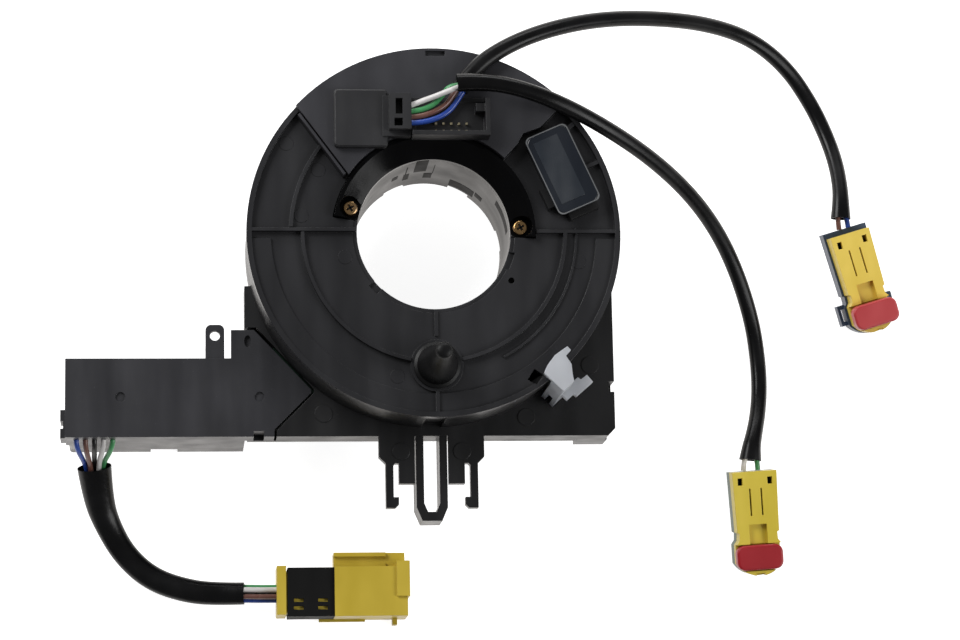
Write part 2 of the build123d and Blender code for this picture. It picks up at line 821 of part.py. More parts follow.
# Terminal cover with its latch, and the socket beside it
with BuildPart() as terminal_cover:
    with BuildSketch(Plane.XY.offset(plateau_z)):
        with Locations(((cover_x[0] + cover_x[1]) / 2, (cover_y[0] + cover_y[1]) / 2)):
            RectangleRounded(cover_x[1] - cover_x[0], cover_y[1] - cover_y[0], 1.2)
    extrude(amount=cover_h)
    chamfer(terminal_cover.faces().sort_by(Axis.Z)[-1].edges(), 0.4)
    block((cover_x[1] - 1.5, latch_x[1]), (latch_y[0] - 1.5, latch_y[1]), (plateau_z, plateau_z + cover_h + 0.5))
    block(latch_x, latch_y, (plateau_z, plateau_z + latch_h))
    latch_pit_z = (plateau_z + 1, plateau_z + latch_h + 1)
    block((-11.2, -9.2), (32.4, 37.0), latch_pit_z, Mode.SUBTRACT)
    block((-11.6, -9.2), (28.9, 31.2), latch_pit_z, Mode.SUBTRACT)
terminal_cover.part.label = "terminal_cover"
export_step(terminal_cover.part, "parts/terminal_cover.step")

socket_z = plateau_z + socket_h
sill_z = plateau_z + sill_h
wire_bed_z = plateau_z + 1.9
inside_x = (socket_x[0] + socket_wall, socket_x[1] - socket_wall)
inside_y = (socket_y[0] + socket_wall, socket_y[1] - socket_wall)
with BuildPart() as socket_housing:
    block(socket_x, socket_y, (plateau_z, socket_z))
    block(inside_x, inside_y, (plateau_z + socket_floor, socket_z + 1), Mode.SUBTRACT)
    # the wires lie over the low left wall and the sill above
    block((socket_x[0] - 1, inside_x[0] + 1), (inside_y[0], socket_y[1] + 1), (wire_bed_z, socket_z + 1), Mode.SUBTRACT)
    block((socket_x[0] - 1, socket_x[1] + 1), (inside_y[1], socket_y[1] + 1), (sill_z, socket_z + 1), Mode.SUBTRACT)
    # catch in the far corner
    block((inside_x[1] - 2.6, inside_x[1]), (inside_y[1] - 3.6, inside_y[1] - 1.2), (plateau_z + socket_floor, socket_z - 1.5))
socket_housing.part.label = "socket_housing"
export_step(socket_housing.part, "parts/socket_housing.step")

with BuildPart() as socket_pins:
    with BuildSketch(Plane.XY.offset(plateau_z + socket_floor)):
        with Locations(pin_c):
            with GridLocations(pin_pitch, pin_pitch, 5, 2):
                Rectangle(pin_w, pin_w)
    extrude(amount=pin_h - socket_floor)
socket_pins.part.label = "socket_pins"
export_step(socket_pins.part, "parts/socket_pins.step")

# Sight window in its bezel
with BuildPart() as window_bezel:
    with BuildSketch(window_plane):
        RectangleRounded(bezel_w, bezel_l, window_corner)
    extrude(amount=bezel_h)
    with BuildSketch(window_plane.offset(1.0)):
        RectangleRounded(bezel_w - 2 * bezel_wall, bezel_l - 2 * bezel_wall, 1.6)
    extrude(amount=bezel_h, mode=Mode.SUBTRACT)
    block((-window_w / 2 - 1.5, -bezel_w / 2 + 1), (-8.5, -2.5), (0, bezel_tab_h), on=window_plane)
    block((-3.5, 5.5), (-window_l / 2 - 1.7, -bezel_l / 2 + 1), (0, bezel_tab_h), on=window_plane)
window_bezel.part.label = "window_bezel"
export_step(window_bezel.part, "parts/window_bezel.step")

with BuildPart() as sight_window:
    with BuildSketch(window_plane.offset(bezel_h)):
        RectangleRounded(window_w, window_l, window_corner)
    extrude(amount=window_t)
    fillet(sight_window.faces().sort_by(Axis.Z)[-1].edges(), 0.5)
sight_window.part.label = "sight_window"
export_step(sight_window.part, "parts/sight_window.step")

# Rubber cone
cone_z = floor_top + cone_boss_h
with BuildPart() as rubber_cone:
    with BuildSketch(Plane(origin=(*cone_c, 0), x_dir=(1, 0, 0), z_dir=(0, -1, 0))):
        with BuildLine():
            Polyline(
                (0, cone_z),
                (cone_r + cone_foot_w, cone_z),
                (cone_r + cone_foot_w, cone_z + 1.0),
                (cone_r, cone_z + 1.4),
            )
            Line((cone_r, cone_z + 1.4), (cone_tip_r, cone_z + cone_h - 1.6))
            Bezier(
                (cone_tip_r, cone_z + cone_h - 1.6),
                (cone_tip_r - 0.1, cone_z + cone_h),
                (0, cone_z + cone_h),
            )
            Line((0, cone_z + cone_h), (0, cone_z))
        make_face()
    revolve(axis=Axis((*cone_c, 0), (0, 0, 1)), revolution_arc=360)
rubber_cone.part.label = "rubber_cone"
export_step(rubber_cone.part, "parts/rubber_cone.step")

# Flat cable, wound in half rounds that grow by the same step
cable_step = (cable_last_r - cable_first_r) / cable_half_turns
with BuildPart() as flat_cable:
    with BuildSketch(Plane.XY.offset(cable_z[0])) as spiral:
        with BuildLine():
            for k in range(cable_half_turns):
                middle = (cable_step * (k % 2), 0)
                inner_r = cable_first_r + k * cable_step
                CenterArc(middle, inner_r, 180 * (k % 2), 180)
                CenterArc(middle, inner_r + cable_t, 180 * (k % 2), 180)
            Line((cable_first_r, 0), (cable_first_r + cable_t, 0))
            Line((cable_last_r, 0), (cable_last_r + cable_t, 0))
        make_face()
    extrude(amount=cable_h)
flat_cable.part.label = "flat_cable"
export_step(flat_cable.part, "parts/flat_cable.step")

# Transport lock: two feet in the plate's pocket, a column, a head over the rim and a grip
lock_under = plateau_z - plate_top + lock_over
lock_top = lock_under + lock_head_t
lock_near, lock_far = lock_reach
lock_low, lock_high = lock_across
with BuildPart() as transport_lock:
    block(lock_reach, lock_across, (-plate_t, lock_under), on=lock_plane)
    block(
        (lock_reach[0] + lock_leg_t, lock_reach[1] - lock_leg_t),
        (lock_across[0] - 1, lock_across[1] + 1),
        (-plate_t - 1, lock_web_z),
        Mode.SUBTRACT,
        lock_plane,
    )
    prism(
        [
            (lock_near - 4.0, lock_high + 5.6),
            (lock_near - 2.5, lock_high + 5.6),
            (lock_near - 2.3, lock_high + 3.4),
            (lock_near + 0.5, lock_high + 2.9),
            (lock_far - 2.0, lock_high + 1.3),
            (lock_far, lock_high),
            (lock_far, lock_low),
            (lock_near - 3.0, lock_low - 0.4),
            (lock_near - 4.0, lock_low + 2.0),
            (lock_near - 4.6, lock_high + 1.2),
        ],
        (lock_under, lock_top),
        on=lock_plane,
    )
    prism(
        [
            (lock_far - 0.5, lock_low + 0.8),
            (lock_far + 2.2, lock_low + 0.9),
            (lock_far + 2.2, lock_high - 0.7),
            (lock_far + 3.3, lock_high - 0.6),
            (lock_far + 3.5, lock_high + 5.8),
            (lock_far + 0.8, lock_high + 6.0),
            (lock_far + 0.6, lock_high + 3.8),
            (lock_far - 0.5, lock_high + 3.5),
        ],
        (lock_arm_z, lock_arm_z + lock_arm_t),
        on=lock_plane,
    )
transport_lock.part.label = "transport_lock"
export_step(transport_lock.part, "parts/transport_lock.step")


# Squib plugs at the ends of the two leads
def plug_plane(at, turn):
    """The plane of a plug that rests on its nose: x runs from the wires to the nose."""
    heading = polar(cos(radians(plug_tilt)), turn)
    lift = plug_l * sin(radians(plug_tilt)) + 0.1
    up = polar(sin(radians(plug_tilt)), turn)
    return Plane(
        origin=(*at, lie_z + lift),
        x_dir=(*heading, -sin(radians(plug_tilt))),
        z_dir=(*up, cos(radians(plug_tilt))),
    )


def plug_outline(on, width, start=0.0):
    """A plug's outline on a plane: straight sides, a step and a rounded nose."""
    half = width / 2
    side = [
        (start, half),
        (plug_step_u, half - 0.4),
        (plug_step_u + 0.3, half - 1.0),
        (plug_lock_u[0] - 1.4, half - 0.9),
        (plug_lock_u[0] - 0.2, half),
        (plug_l - 3.8, half),
    ]
    with BuildSketch(on) as outline:
        with BuildLine():
            Polyline(*side)
            ThreePointArc(side[-1], (plug_l, 0), (side[-1][0], -side[-1][1]))
            Polyline(*[(u, -v) for u, v in reversed(side)])
            Line((start, -half), (start, half))
        make_face()
    return outline.sketch


lock_floor = plug_back_t + plug_front_t - plug_lock_t
plug_top = plug_back_t + plug_front_t
first_plane = plug_plane(first_plug_at, first_plug_turn)
second_plane = plug_plane(second_plug_at, second_plug_turn)
for name, plane, front_w, back_w, flange_u, raised in (
    ("first_plug", first_plane, 12.4, 13.8, first_flange_u, plug_lock_travel),
    ("second_plug", second_plane, 13.3, 13.3, 0.0, 0.0),
):
    room_v = front_w / 2 - plug_wall
    with BuildPart() as plug_front:
        extrude(plug_outline(plane.offset(plug_back_t), front_w), amount=plug_front_t)
        block((plug_wall, plug_room_u), (-room_v, room_v), (plug_back_t, plug_top - plug_roof), Mode.SUBTRACT, plane)
        # slots, windows, finger recess and the notch in the nose
        for side in (-1, 1):
            slot_v = side * plug_slot_v
            block(plug_slot, (slot_v - plug_slot_w / 2, slot_v + plug_slot_w / 2), (plug_back_t, plug_top + 1), Mode.SUBTRACT, plane)
            edge_v = side * (front_w / 2 - 2.2)
            block((1.8, 3.9), (edge_v - 0.7, edge_v + 0.7), (plug_back_t, plug_top + 1), Mode.SUBTRACT, plane)
        block((15.6, plug_lock_u[0] - plug_lock_gap), (-2.65, 2.65), (plug_top - 1.6, plug_top + 1), Mode.SUBTRACT, plane)
        block((plug_l - 0.8, plug_l + 1), (-1.35, 1.35), (plug_back_t + 1, plug_top + 1), Mode.SUBTRACT, plane)
        # seat of the lock, with pockets for its legs
        seat_u = (plug_lock_u[0] - plug_lock_gap, plug_lock_u[1] + plug_lock_gap)
        block(seat_u, (-front_w, front_w), (lock_floor - plug_lock_gap, plug_top + 1), Mode.SUBTRACT, plane)
        for side in (-1, 1):
            pocket_v = sorted((side * (plug_leg_v[0] - plug_lock_gap), side * (plug_leg_v[1] + plug_lock_gap)))
            block(
                (plug_lock_u[0] + 1.5 - plug_lock_gap, plug_lock_u[1] - 1.5 + plug_lock_gap),
                pocket_v,
                (plug_back_t, plug_top),
                Mode.SUBTRACT,
                plane,
            )
    plug_front.part.label = f"{name}_front"
    export_step(plug_front.part, f"parts/{name}_front.step")

    with BuildPart() as plug_back:
        extrude(plug_outline(plane, back_w, flange_u), amount=plug_back_t)
        block((plug_wall, plug_room_u), (-room_v, room_v), (plug_wall, plug_back_t), Mode.SUBTRACT, plane)
        ring(plug_mouth_r, 0, (0, plug_mouth_h), Mode.SUBTRACT, (plug_mouth_u, 0), plane)
        for side in (-1, 1):
            lane = (side * contact_v - contact_w / 2 - 0.1, side * contact_v + contact_w / 2 + 0.1)
            block((plug_room_u - 1, plug_mouth_u + 1), lane, (plug_mouth_h - 1, plug_back_t), Mode.SUBTRACT, plane)
        # side arms that clip the plug in its socket
        arm_v = back_w / 2
        if flange_u:
            for side in (-1, 1):
                arm = sorted((side * (arm_v - 0.5), side * (arm_v + 1.8)))
                gap = sorted((side * arm_v, side * (arm_v + 0.9)))
                block((20.4, 26.6), arm, (0, plug_back_t - 1.3), on=plane)
                block((21.6, 25.4), gap, (0, plug_back_t), Mode.SUBTRACT, plane)
    plug_back.part.label = f"{name}_back"
    export_step(plug_back.part, f"parts/{name}_back.step")

    with BuildPart() as plug_lock:
        lift = plane.offset(lock_floor + raised)
        with BuildSketch(lift) as cap:
            with Locations(((plug_lock_u[0] + plug_lock_u[1]) / 2, 0)):
                RectangleRounded(plug_lock_u[1] - plug_lock_u[0], plug_lock_w, 2.4)
        extrude(cap.sketch, amount=plug_lock_t + 0.9)
        fillet(plug_lock.faces().sort_by(Axis(plane.origin, plane.z_dir))[-1].edges(), 0.7)
        for side in (-1, 1):
            leg_v = sorted((side * plug_leg_v[0], side * plug_leg_v[1]))
            block((plug_lock_u[0] + 1.5, plug_lock_u[1] - 1.5), leg_v, (-plug_leg_h + plug_lock_gap, 0.3), on=lift)
    plug_lock.part.label = f"{name}_lock"
    export_step(plug_lock.part, f"parts/{name}_lock.step")

    with BuildPart() as contacts:
        for side in (-1, 1):
            across = (side * contact_v - contact_w / 2, side * contact_v + contact_w / 2)
            level = (plug_mouth_h - 0.9, plug_mouth_h - 0.9 + contact_t)
            block((plug_wall + 0.3, plug_mouth_u), across, level, on=plane)
            ring(0.7, 0, (0.8, plug_mouth_h - 0.6), centre=(plug_mouth_u, side * contact_v), on=plane)
    contacts.part.label = f"{name}_contacts"
    export_step(contacts.part, f"parts/{name}_contacts.step")


# Vehicle side plug: body, wire flange and retainer
loom_low = lie_z
loom_mid_y = (loom_plug_y[0] + loom_plug_y[1]) / 2
neck_y = (loom_plug_y[0] + loom_neck_inset, loom_plug_y[1] - loom_neck_inset)
neck_z = (loom_low + 0.6, loom_low + loom_plug_h - 2.0)
body_x = retainer_x[1]
with BuildPart() as loom_plug:
    block((loom_plug_x[0] + loom_flange_t, body_x), neck_y, neck_z)
    block(
        (loom_plug_x[0], loom_plug_x[0] + loom_flange_t),
        (loom_plug_y[0] + 0.6, loom_plug_y[1] + 0.4),
        (loom_low + 0.2, loom_low + loom_plug_h - 0.6),
    )
    block((body_x, loom_plug_x[1]), loom_plug_y, (loom_low, loom_low + loom_plug_h))
    # stepped side with its guide ribs and the latch arm
    block((body_x, loom_plug_x[1] - 0.4), (loom_plug_y[1], loom_plug_y[1] + 4.6), (loom_low, loom_low + 6.0))
    for rib_y in (loom_plug_y[1] + 0.4, loom_plug_y[1] + 3.4):
        block((body_x, loom_plug_x[1] - 6.0), (rib_y, rib_y + 1.2), (loom_low + 5.0, loom_low + 7.2))
    block((loom_plug_x[1] - 3.2, loom_plug_x[1] + 0.6), (loom_plug_y[0] + 5.6, loom_plug_y[1] + 1.5), (loom_low + 1, loom_low + loom_plug_h + 0.8))
    block((loom_plug_x[1] - 4.0, loom_plug_x[1] - 2.6), (loom_plug_y[0] - 1.8, loom_plug_y[0]), (loom_low, loom_low + 3.4))
    block((loom_plug_x[0] + 12.5, loom_plug_x[0] + 26.0), (loom_plug_y[0] - 0.6, loom_plug_y[0] + 2), (loom_low, loom_low + 1.6))
    # ways for the contacts, open at the mating face
    for k in (-2, -1, 0, 1, 2):
        way_y = loom_mid_y + k * way_pitch
        block(
            (loom_plug_x[1] + 1 - way_depth, loom_plug_x[1] + 1),
            (way_y - way_w / 2, way_y + way_w / 2),
            (loom_low + 4.0, loom_low + 4.0 + way_w),
            Mode.SUBTRACT,
        )
loom_plug.part.label = "loom_plug_body"
export_step(loom_plug.part, "parts/loom_plug_body.step")

sleeve_y = (neck_y[0] - retainer_t - 0.1, neck_y[1] + retainer_t + 0.1)
with BuildPart() as loom_retainer:
    block(retainer_x, sleeve_y, (neck_z[0] + 1.4, neck_z[1] + retainer_t + 0.1))
    block(
        (retainer_x[0] - 1, retainer_x[1] + 1),
        (neck_y[0] - 0.1, neck_y[1] + 0.1),
        (neck_z[0], neck_z[1] + 0.1),
        Mode.SUBTRACT,
    )
    for slot_x in (retainer_x[0] + 3.2, retainer_x[1] - 3.4):
        for slot_y in (neck_y[0] + 1.4, neck_y[0] + 3.6):
            block(
                (slot_x - retainer_slot[0] / 2, slot_x + retainer_slot[0] / 2),
                (slot_y - retainer_slot[1] / 2, slot_y + retainer_slot[1] / 2),
                (neck_z[1] - 1, neck_z[1] + retainer_t + 1),
                Mode.SUBTRACT,
            )
loom_retainer.part.label = "loom_plug_retainer"
export_step(loom_retainer.part, "parts/loom_plug_retainer.step")


# Routes of the leads and the loom
def beside(route, across, rise=0.0):
    """A route that runs beside another one, to its left by across and above by rise."""
    moved = []
    for k, point in enumerate(route):
        before = route[max(k - 1, 0)]
        after = route[min(k + 1, len(route) - 1)]
        headings = [
            atan2(b[1] - a[1], b[0] - a[0])
            for a, b in ((before, point), (point, after))
            if a != b
        ]
        turn = (headings[-1] - headings[0] + pi) % (2 * pi) - pi
        left = headings[0] + turn / 2 + pi / 2
        reach = across / cos(turn / 2)
        moved.append((point[0] + reach * cos(left), point[1] + reach * sin(left), point[2] + rise))
    return moved


def bend_radii(route):
    """The largest tangent arc at each inner point that its two runs allow."""
    radii = []
    for before, point, after in zip(route, route[1:], route[2:]):
        turn = radians((Vector(point) - Vector(before)).get_angle(Vector(after) - Vector(point)))
        radii.append(0.45 * min(dist(before, point), dist(point, after)) / tan(turn / 2))
    return radii


first_lead = [
    (7.4, 40.6, 26.6),
    (11.6, 46.8, 27.0),
    (21.3, 53.7, 26.5),
    (34.1, 59.9, 22.5),
    (50.2, 65.3, 15.0),
    (68.0, 68.7, 5.0),
    (85.8, 70.2, -5.5),
    (100.8, 68.4, -15.0),
    (112.6, 61.2, -21.5),
    (120.3, 50.6, -24.6),
    (124.4, 40.6, -24.0),
    (126.4, 31.6, -21.4),
    (126.9, 23.6, -18.8),
    (126.6, 17.6, -17.4),
    (126.4, 13.2, -17.6),
]
second_lead = [
    (6.3, 41.1, 31.4),
    (13.4, 41.6, 31.7),
    (24.9, 39.9, 30.6),
    (37.8, 35.7, 27.5),
    (51.9, 30.1, 20.5),
    (65.8, 23.8, 10.5),
    (78.3, 16.0, -0.5),
    (87.9, 6.9, -11.0),
    (94.8, -4.1, -19.4),
    (99.5, -17.2, -24.4),
    (101.0, -29.0, -25.3),
    (100.9, -38.0, -24.2),
    (99.6, -45.8, -21.6),
    (97.8, -52.2, -18.9),
    (96.5, -56.6, -17.6),
    (96.14, -60.18, -17.86),
]
exit_x = latch_x[1]
exit_z = plateau_z + 3.3
first_fan = [(exit_x, 31.2, exit_z), (-4.9, 31.2, exit_z), (-1.0, 31.7, exit_z), (4.2, 35.1, exit_z - 0.3)]
second_fan = [(exit_x, 34.8, exit_z), (-4.9, 34.8, exit_z), (-2.0, 35.4, exit_z + 0.6), (1.7, 38.8, exit_z + 2.6)]
first_end = tuple(first_plane.from_local_coords((first_flange_u - wire_end_gap, 0, plug_wire_w)))
second_end = tuple(second_plane.from_local_coords((-wire_end_gap, 0, plug_wire_w)))
first_wires = first_fan + first_lead + [first_end]
second_wires = second_fan + second_lead + [second_end]

loom_route = [
    (-96.6, -61.8, -14.5),
    (-95.6, -70.1, -19.5),
    (-93.1, -77.3, -22.8),
    (-88.1, -86.3, -23.8),
    (-80.0, -93.6, -23.8),
    (-69.1, -97.2, -23.8),
    (-59.8, -97.9, -23.4),
    (-53.4, -97.9, -22.6),
]
loom_end = [(-48.6, -98.1, -22.0), (loom_plug_x[0], -98.1, -22.0)]
loom_places = [(-1.9, -0.5), (-1.0, 1.1), (0.0, -1.0), (1.0, 1.1), (1.9, -0.5)]

cords = [
    ("first_sleeve", first_lead, sleeve_d, sleeve_bore),
    ("second_sleeve", second_lead, sleeve_d, sleeve_bore),
    ("brown_wire", beside(first_wires, wire_side), wire_d, 0),
    ("blue_wire", beside(first_wires, -wire_side), wire_d, 0),
    ("white_wire", beside(second_wires, wire_side), wire_d, 0),
    ("green_wire", beside(second_wires, -wire_side), wire_d, 0),
    ("loom_sleeve", loom_route, loom_d, loom_bore),
]
loom_names = ["loom_blue_wire", "loom_brown_wire", "loom_black_wire", "loom_white_wire", "loom_green_wire"]
for name, x, (across, rise) in zip(loom_names, loom_xs, loom_places):
    inside = beside(loom_route + loom_end, across, rise)
    entry = [(x, frame_bottom, loom_z), (x, frame_bottom - 2.2, loom_z)]
    cords.append((name, entry + inside, loom_wire_d, 0))

for name, route, outer, inner in cords:
    radii = bend_radii(route)
    with BuildPart() as cord:
        with BuildLine() as path:
            FilletPolyline(*route, radius=radii)
        with BuildSketch(Plane(origin=path.line @ 0, z_dir=path.line % 0)):
            Circle(outer / 2)
            if inner:
                Circle(inner / 2, mode=Mode.SUBTRACT)
        sweep()
    cord.part.label = name
    export_step(cord.part, f"parts/{name}.step")
    section = pi * (outer**2 - inner**2) / 4
    length = sum(edge.length for edge in path.edges())
    share = cord.part.volume / (section * length)
    print(f"{name}: {length:.1f} mm, volume share {share:.4f}, radii", [round(r, 1) for r in radii])
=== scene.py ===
"""Looks of the steering clock spring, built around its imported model.

Metres, in the model's own frame: +Z is the steering axis, +X the driver's right and +Y up.
"""

import json
import logging
import math
from dataclasses import dataclass, field
from enum import Enum

import bmesh
import bpy
from mathutils import Matrix, Vector


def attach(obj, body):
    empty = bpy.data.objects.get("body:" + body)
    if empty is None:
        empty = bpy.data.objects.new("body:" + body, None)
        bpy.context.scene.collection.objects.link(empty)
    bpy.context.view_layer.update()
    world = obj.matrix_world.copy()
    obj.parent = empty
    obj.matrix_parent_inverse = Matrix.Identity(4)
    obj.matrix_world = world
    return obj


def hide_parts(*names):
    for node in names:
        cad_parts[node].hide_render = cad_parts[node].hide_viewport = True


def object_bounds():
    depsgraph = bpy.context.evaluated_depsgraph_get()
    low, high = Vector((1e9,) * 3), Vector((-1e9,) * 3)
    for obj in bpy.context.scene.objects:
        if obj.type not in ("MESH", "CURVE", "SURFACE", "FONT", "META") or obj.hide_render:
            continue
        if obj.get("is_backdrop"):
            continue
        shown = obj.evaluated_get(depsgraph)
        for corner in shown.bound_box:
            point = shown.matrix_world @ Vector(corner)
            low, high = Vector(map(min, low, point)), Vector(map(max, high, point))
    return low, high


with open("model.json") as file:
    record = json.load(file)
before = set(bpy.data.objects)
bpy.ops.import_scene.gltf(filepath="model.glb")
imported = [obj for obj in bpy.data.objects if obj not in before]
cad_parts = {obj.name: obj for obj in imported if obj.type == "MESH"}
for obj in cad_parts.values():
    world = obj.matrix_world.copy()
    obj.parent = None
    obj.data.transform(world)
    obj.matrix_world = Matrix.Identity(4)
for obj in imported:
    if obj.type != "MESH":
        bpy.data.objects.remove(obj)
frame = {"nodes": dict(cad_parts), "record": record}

log = logging.getLogger("clock_spring")

MM = 0.001
NODES = frame["nodes"]
SMOOTH_ANGLE = math.radians(32)
TUBE_SMOOTH_ANGLE = math.radians(60)
MERGE_DISTANCE = 1e-7
Point = tuple[float, float, float]
Pair = tuple[float, float]


class Body(Enum):
    """The bodies that pieces ride on."""

    STATOR = "stator"
    ROTOR = "rotor"
    CLIP = "lock_clip"
    FIRST_LOCK = "first_red_lock"
    SECOND_LOCK = "second_red_lock"


class Gloss(Enum):
    """Roughness of a surface at its smoothest and at its dullest."""

    POLISHED = (0.10, 0.20)
    SHINY = (0.22, 0.34)
    SATIN = (0.34, 0.48)
    MATT = (0.55, 0.72)


def metres(points: list[Point]) -> list[Vector]:
    """Turn points in millimetres into vectors in metres."""
    return [Vector(point) * MM for point in points]


def placed(name: str, data: bpy.types.ID) -> bpy.types.Object:
    """Put an object with some data into the scene."""
    thing = bpy.data.objects.new(name, data)
    bpy.context.scene.collection.objects.link(thing)
    return thing


# Shared node groups

CLOUD_SCALE, FLOW_SCALE, GRAIN_SCALE = 55.0, 120.0, 5200.0
FLOW_STRETCH, FLOW_TURN = (1.0, 0.18, 1.0), 0.5
SPECK_SCALE, RUB_SCALE = 1500.0, 35.0
DUST_TONE = (0.16, 0.16, 0.165, 1.0)
WAVE_SCALE, LINE_SCALE = 90.0, 900.0
WHOLE = (0.0, 1.0)


def feed(tree: bpy.types.NodeTree, value: object, socket: bpy.types.NodeSocket) -> None:
    """Link a socket into another, or set a plain value on it."""
    if isinstance(value, bpy.types.NodeSocket):
        tree.links.new(value, socket)
    else:
        socket.default_value = value


def mixed(
    tree: bpy.types.NodeTree, share: object, first: object, second: object
) -> bpy.types.NodeSocket:
    """Mix two colours by a share."""
    node = tree.nodes.new("ShaderNodeMix")
    node.data_type = "RGBA"
    for label, value in (("Factor", share), ("A", first), ("B", second)):
        feed(tree, value, node.inputs[label])
    return node.outputs["Result"]


class SharedGroup:
    """A shader node group with named sockets, made once and used by many finishes."""

    def __init__(self, name: str, inputs: dict[str, str], outputs: dict[str, str]) -> None:
        """Make the group's sockets.

        Args:
            name: Name of the group.
            inputs: Socket name to kind, for what goes in.
            outputs: Socket name to kind, for what comes out.
        """
        self.tree = bpy.data.node_groups.new(name, "ShaderNodeTree")
        for sockets, way in ((inputs, "INPUT"), (outputs, "OUTPUT")):
            for label, kind in sockets.items():
                self.tree.interface.new_socket(label, in_out=way, socket_type=f"NodeSocket{kind}")
        self.entry = self.tree.nodes.new("NodeGroupInput").outputs
        self.result = self.tree.nodes.new("NodeGroupOutput").inputs

    def noise(self, scale: float, detail: float, vector: bpy.types.NodeSocket) -> bpy.types.NodeSocket:
        """Add a noise texture and return its value."""
        node = self.tree.nodes.new("ShaderNodeTexNoise")
        node.inputs["Scale"].default_value = scale
        node.inputs["Detail"].default_value = detail
        self.tree.links.new(vector, node.inputs["Vector"])
        return node.outputs["Fac"]

    def spread(self, value: bpy.types.NodeSocket, source: Pair, target: tuple) -> bpy.types.NodeSocket:
        """Map a value from one range to another; target holds numbers or sockets."""
        node = self.tree.nodes.new("ShaderNodeMapRange")
        self.tree.links.new(value, node.inputs["Value"])
        node.inputs["From Min"].default_value = source[0]
        node.inputs["From Max"].default_value = source[1]
        for label, end in zip(("To Min", "To Max"), target):
            feed(self.tree, end, node.inputs[label])
        return node.outputs["Result"]

    def maths(self, operation: str, first: object, second: object) -> bpy.types.NodeSocket:
        """Add a maths node on two values."""
        node = self.tree.nodes.new("ShaderNodeMath")
        node.operation = operation
        feed(self.tree, first, node.inputs[0])
        feed(self.tree, second, node.inputs[1])
        return node.outputs[0]

    def stretch(self, vector: bpy.types.NodeSocket, scale: Point, turn: float) -> bpy.types.NodeSocket:
        """Turn and stretch a vector about Z."""
        node = self.tree.nodes.new("ShaderNodeMapping")
        self.tree.links.new(vector, node.inputs["Vector"])
        node.inputs["Scale"].default_value = scale
        node.inputs["Rotation"].default_value = (0.0, 0.0, turn)
        return node.outputs["Vector"]

    def send(self, label: str, value: bpy.types.NodeSocket) -> None:
        """Link a value to one of the group's outputs."""
        self.tree.links.new(value, self.result[label])


def moulded_group() -> bpy.types.NodeTree:
    """Make the surface of a moulded plastic: cloudy tone, fine grain and flow marks."""
    group = SharedGroup(
        "moulded_surface",
        {"Vector": "Vector", "Deep": "Color", "Pale": "Color", "Smooth": "Float", "Dull": "Float"},
        {"Color": "Color", "Roughness": "Float", "Height": "Float"},
    )
    vector = group.entry["Vector"]
    cloud = group.noise(CLOUD_SCALE, 3.0, vector)
    flow = group.noise(FLOW_SCALE, 2.0, group.stretch(vector, FLOW_STRETCH, FLOW_TURN))
    grain = group.noise(GRAIN_SCALE, 2.0, vector)
    share = group.spread(group.maths("MULTIPLY", cloud, flow), (0.12, 0.42), WHOLE)
    group.send("Color", mixed(group.tree, share, group.entry["Deep"], group.entry["Pale"]))
    finishes = (group.entry["Smooth"], group.entry["Dull"])
    group.send("Roughness", group.spread(flow, (0.3, 0.7), finishes))
    group.send("Height", group.maths("ADD", grain, group.maths("MULTIPLY", cloud, 2.0)))
    return group.tree


def dust_group() -> bpy.types.NodeTree:
    """Make settled dust and light handling: pale specks and rubs on what faces up."""
    group = SharedGroup(
        "settled_dust",
        {"Vector": "Vector", "Normal": "Vector", "Color": "Color", "Amount": "Float"},
        {"Color": "Color"},
    )
    vector = group.entry["Vector"]
    parts = group.tree.nodes.new("ShaderNodeSeparateXYZ")
    group.tree.links.new(group.entry["Normal"], parts.inputs["Vector"])
    up = group.spread(parts.outputs["Z"], (0.4, 1.0), WHOLE)
    specks = group.spread(group.noise(SPECK_SCALE, 1.0, vector), (0.70, 0.80), WHOLE)
    rubs = group.spread(group.noise(RUB_SCALE, 4.0, vector), (0.45, 0.85), (0.0, 0.35))
    share = group.maths("MULTIPLY", up, group.maths("MAXIMUM", specks, rubs))
    share = group.maths("MULTIPLY", share, group.entry["Amount"])
    group.send("Color", mixed(group.tree, share, group.entry["Color"], DUST_TONE))
    return group.tree


def lengthwise_group() -> bpy.types.NodeTree:
    """Make the skin of an extruded tube or wire: fine draw lines and slow waves along it."""
    group = SharedGroup(
        "drawn_skin",
        {"Vector": "Vector", "Smooth": "Float", "Dull": "Float"},
        {"Tone": "Float", "Roughness": "Float", "Height": "Float"},
    )
    vector = group.entry["Vector"]
    waves = group.noise(WAVE_SCALE, 2.0, vector)
    lines = group.noise(LINE_SCALE, 1.0, vector)
    group.send("Tone", group.spread(waves, (0.3, 0.7), WHOLE))
    finishes = (group.entry["Smooth"], group.entry["Dull"])
    group.send("Roughness", group.spread(waves, (0.3, 0.7), finishes))
    group.send("Height", group.maths("ADD", group.maths("MULTIPLY", waves, 3.0), lines))
    return group.tree


@dataclass
class Workshop:
    """The shared node groups that finishes draw on."""

    moulded: bpy.types.NodeTree = field(default_factory=moulded_group)
    dust: bpy.types.NodeTree = field(default_factory=dust_group)
    drawn: bpy.types.NodeTree = field(default_factory=lengthwise_group)


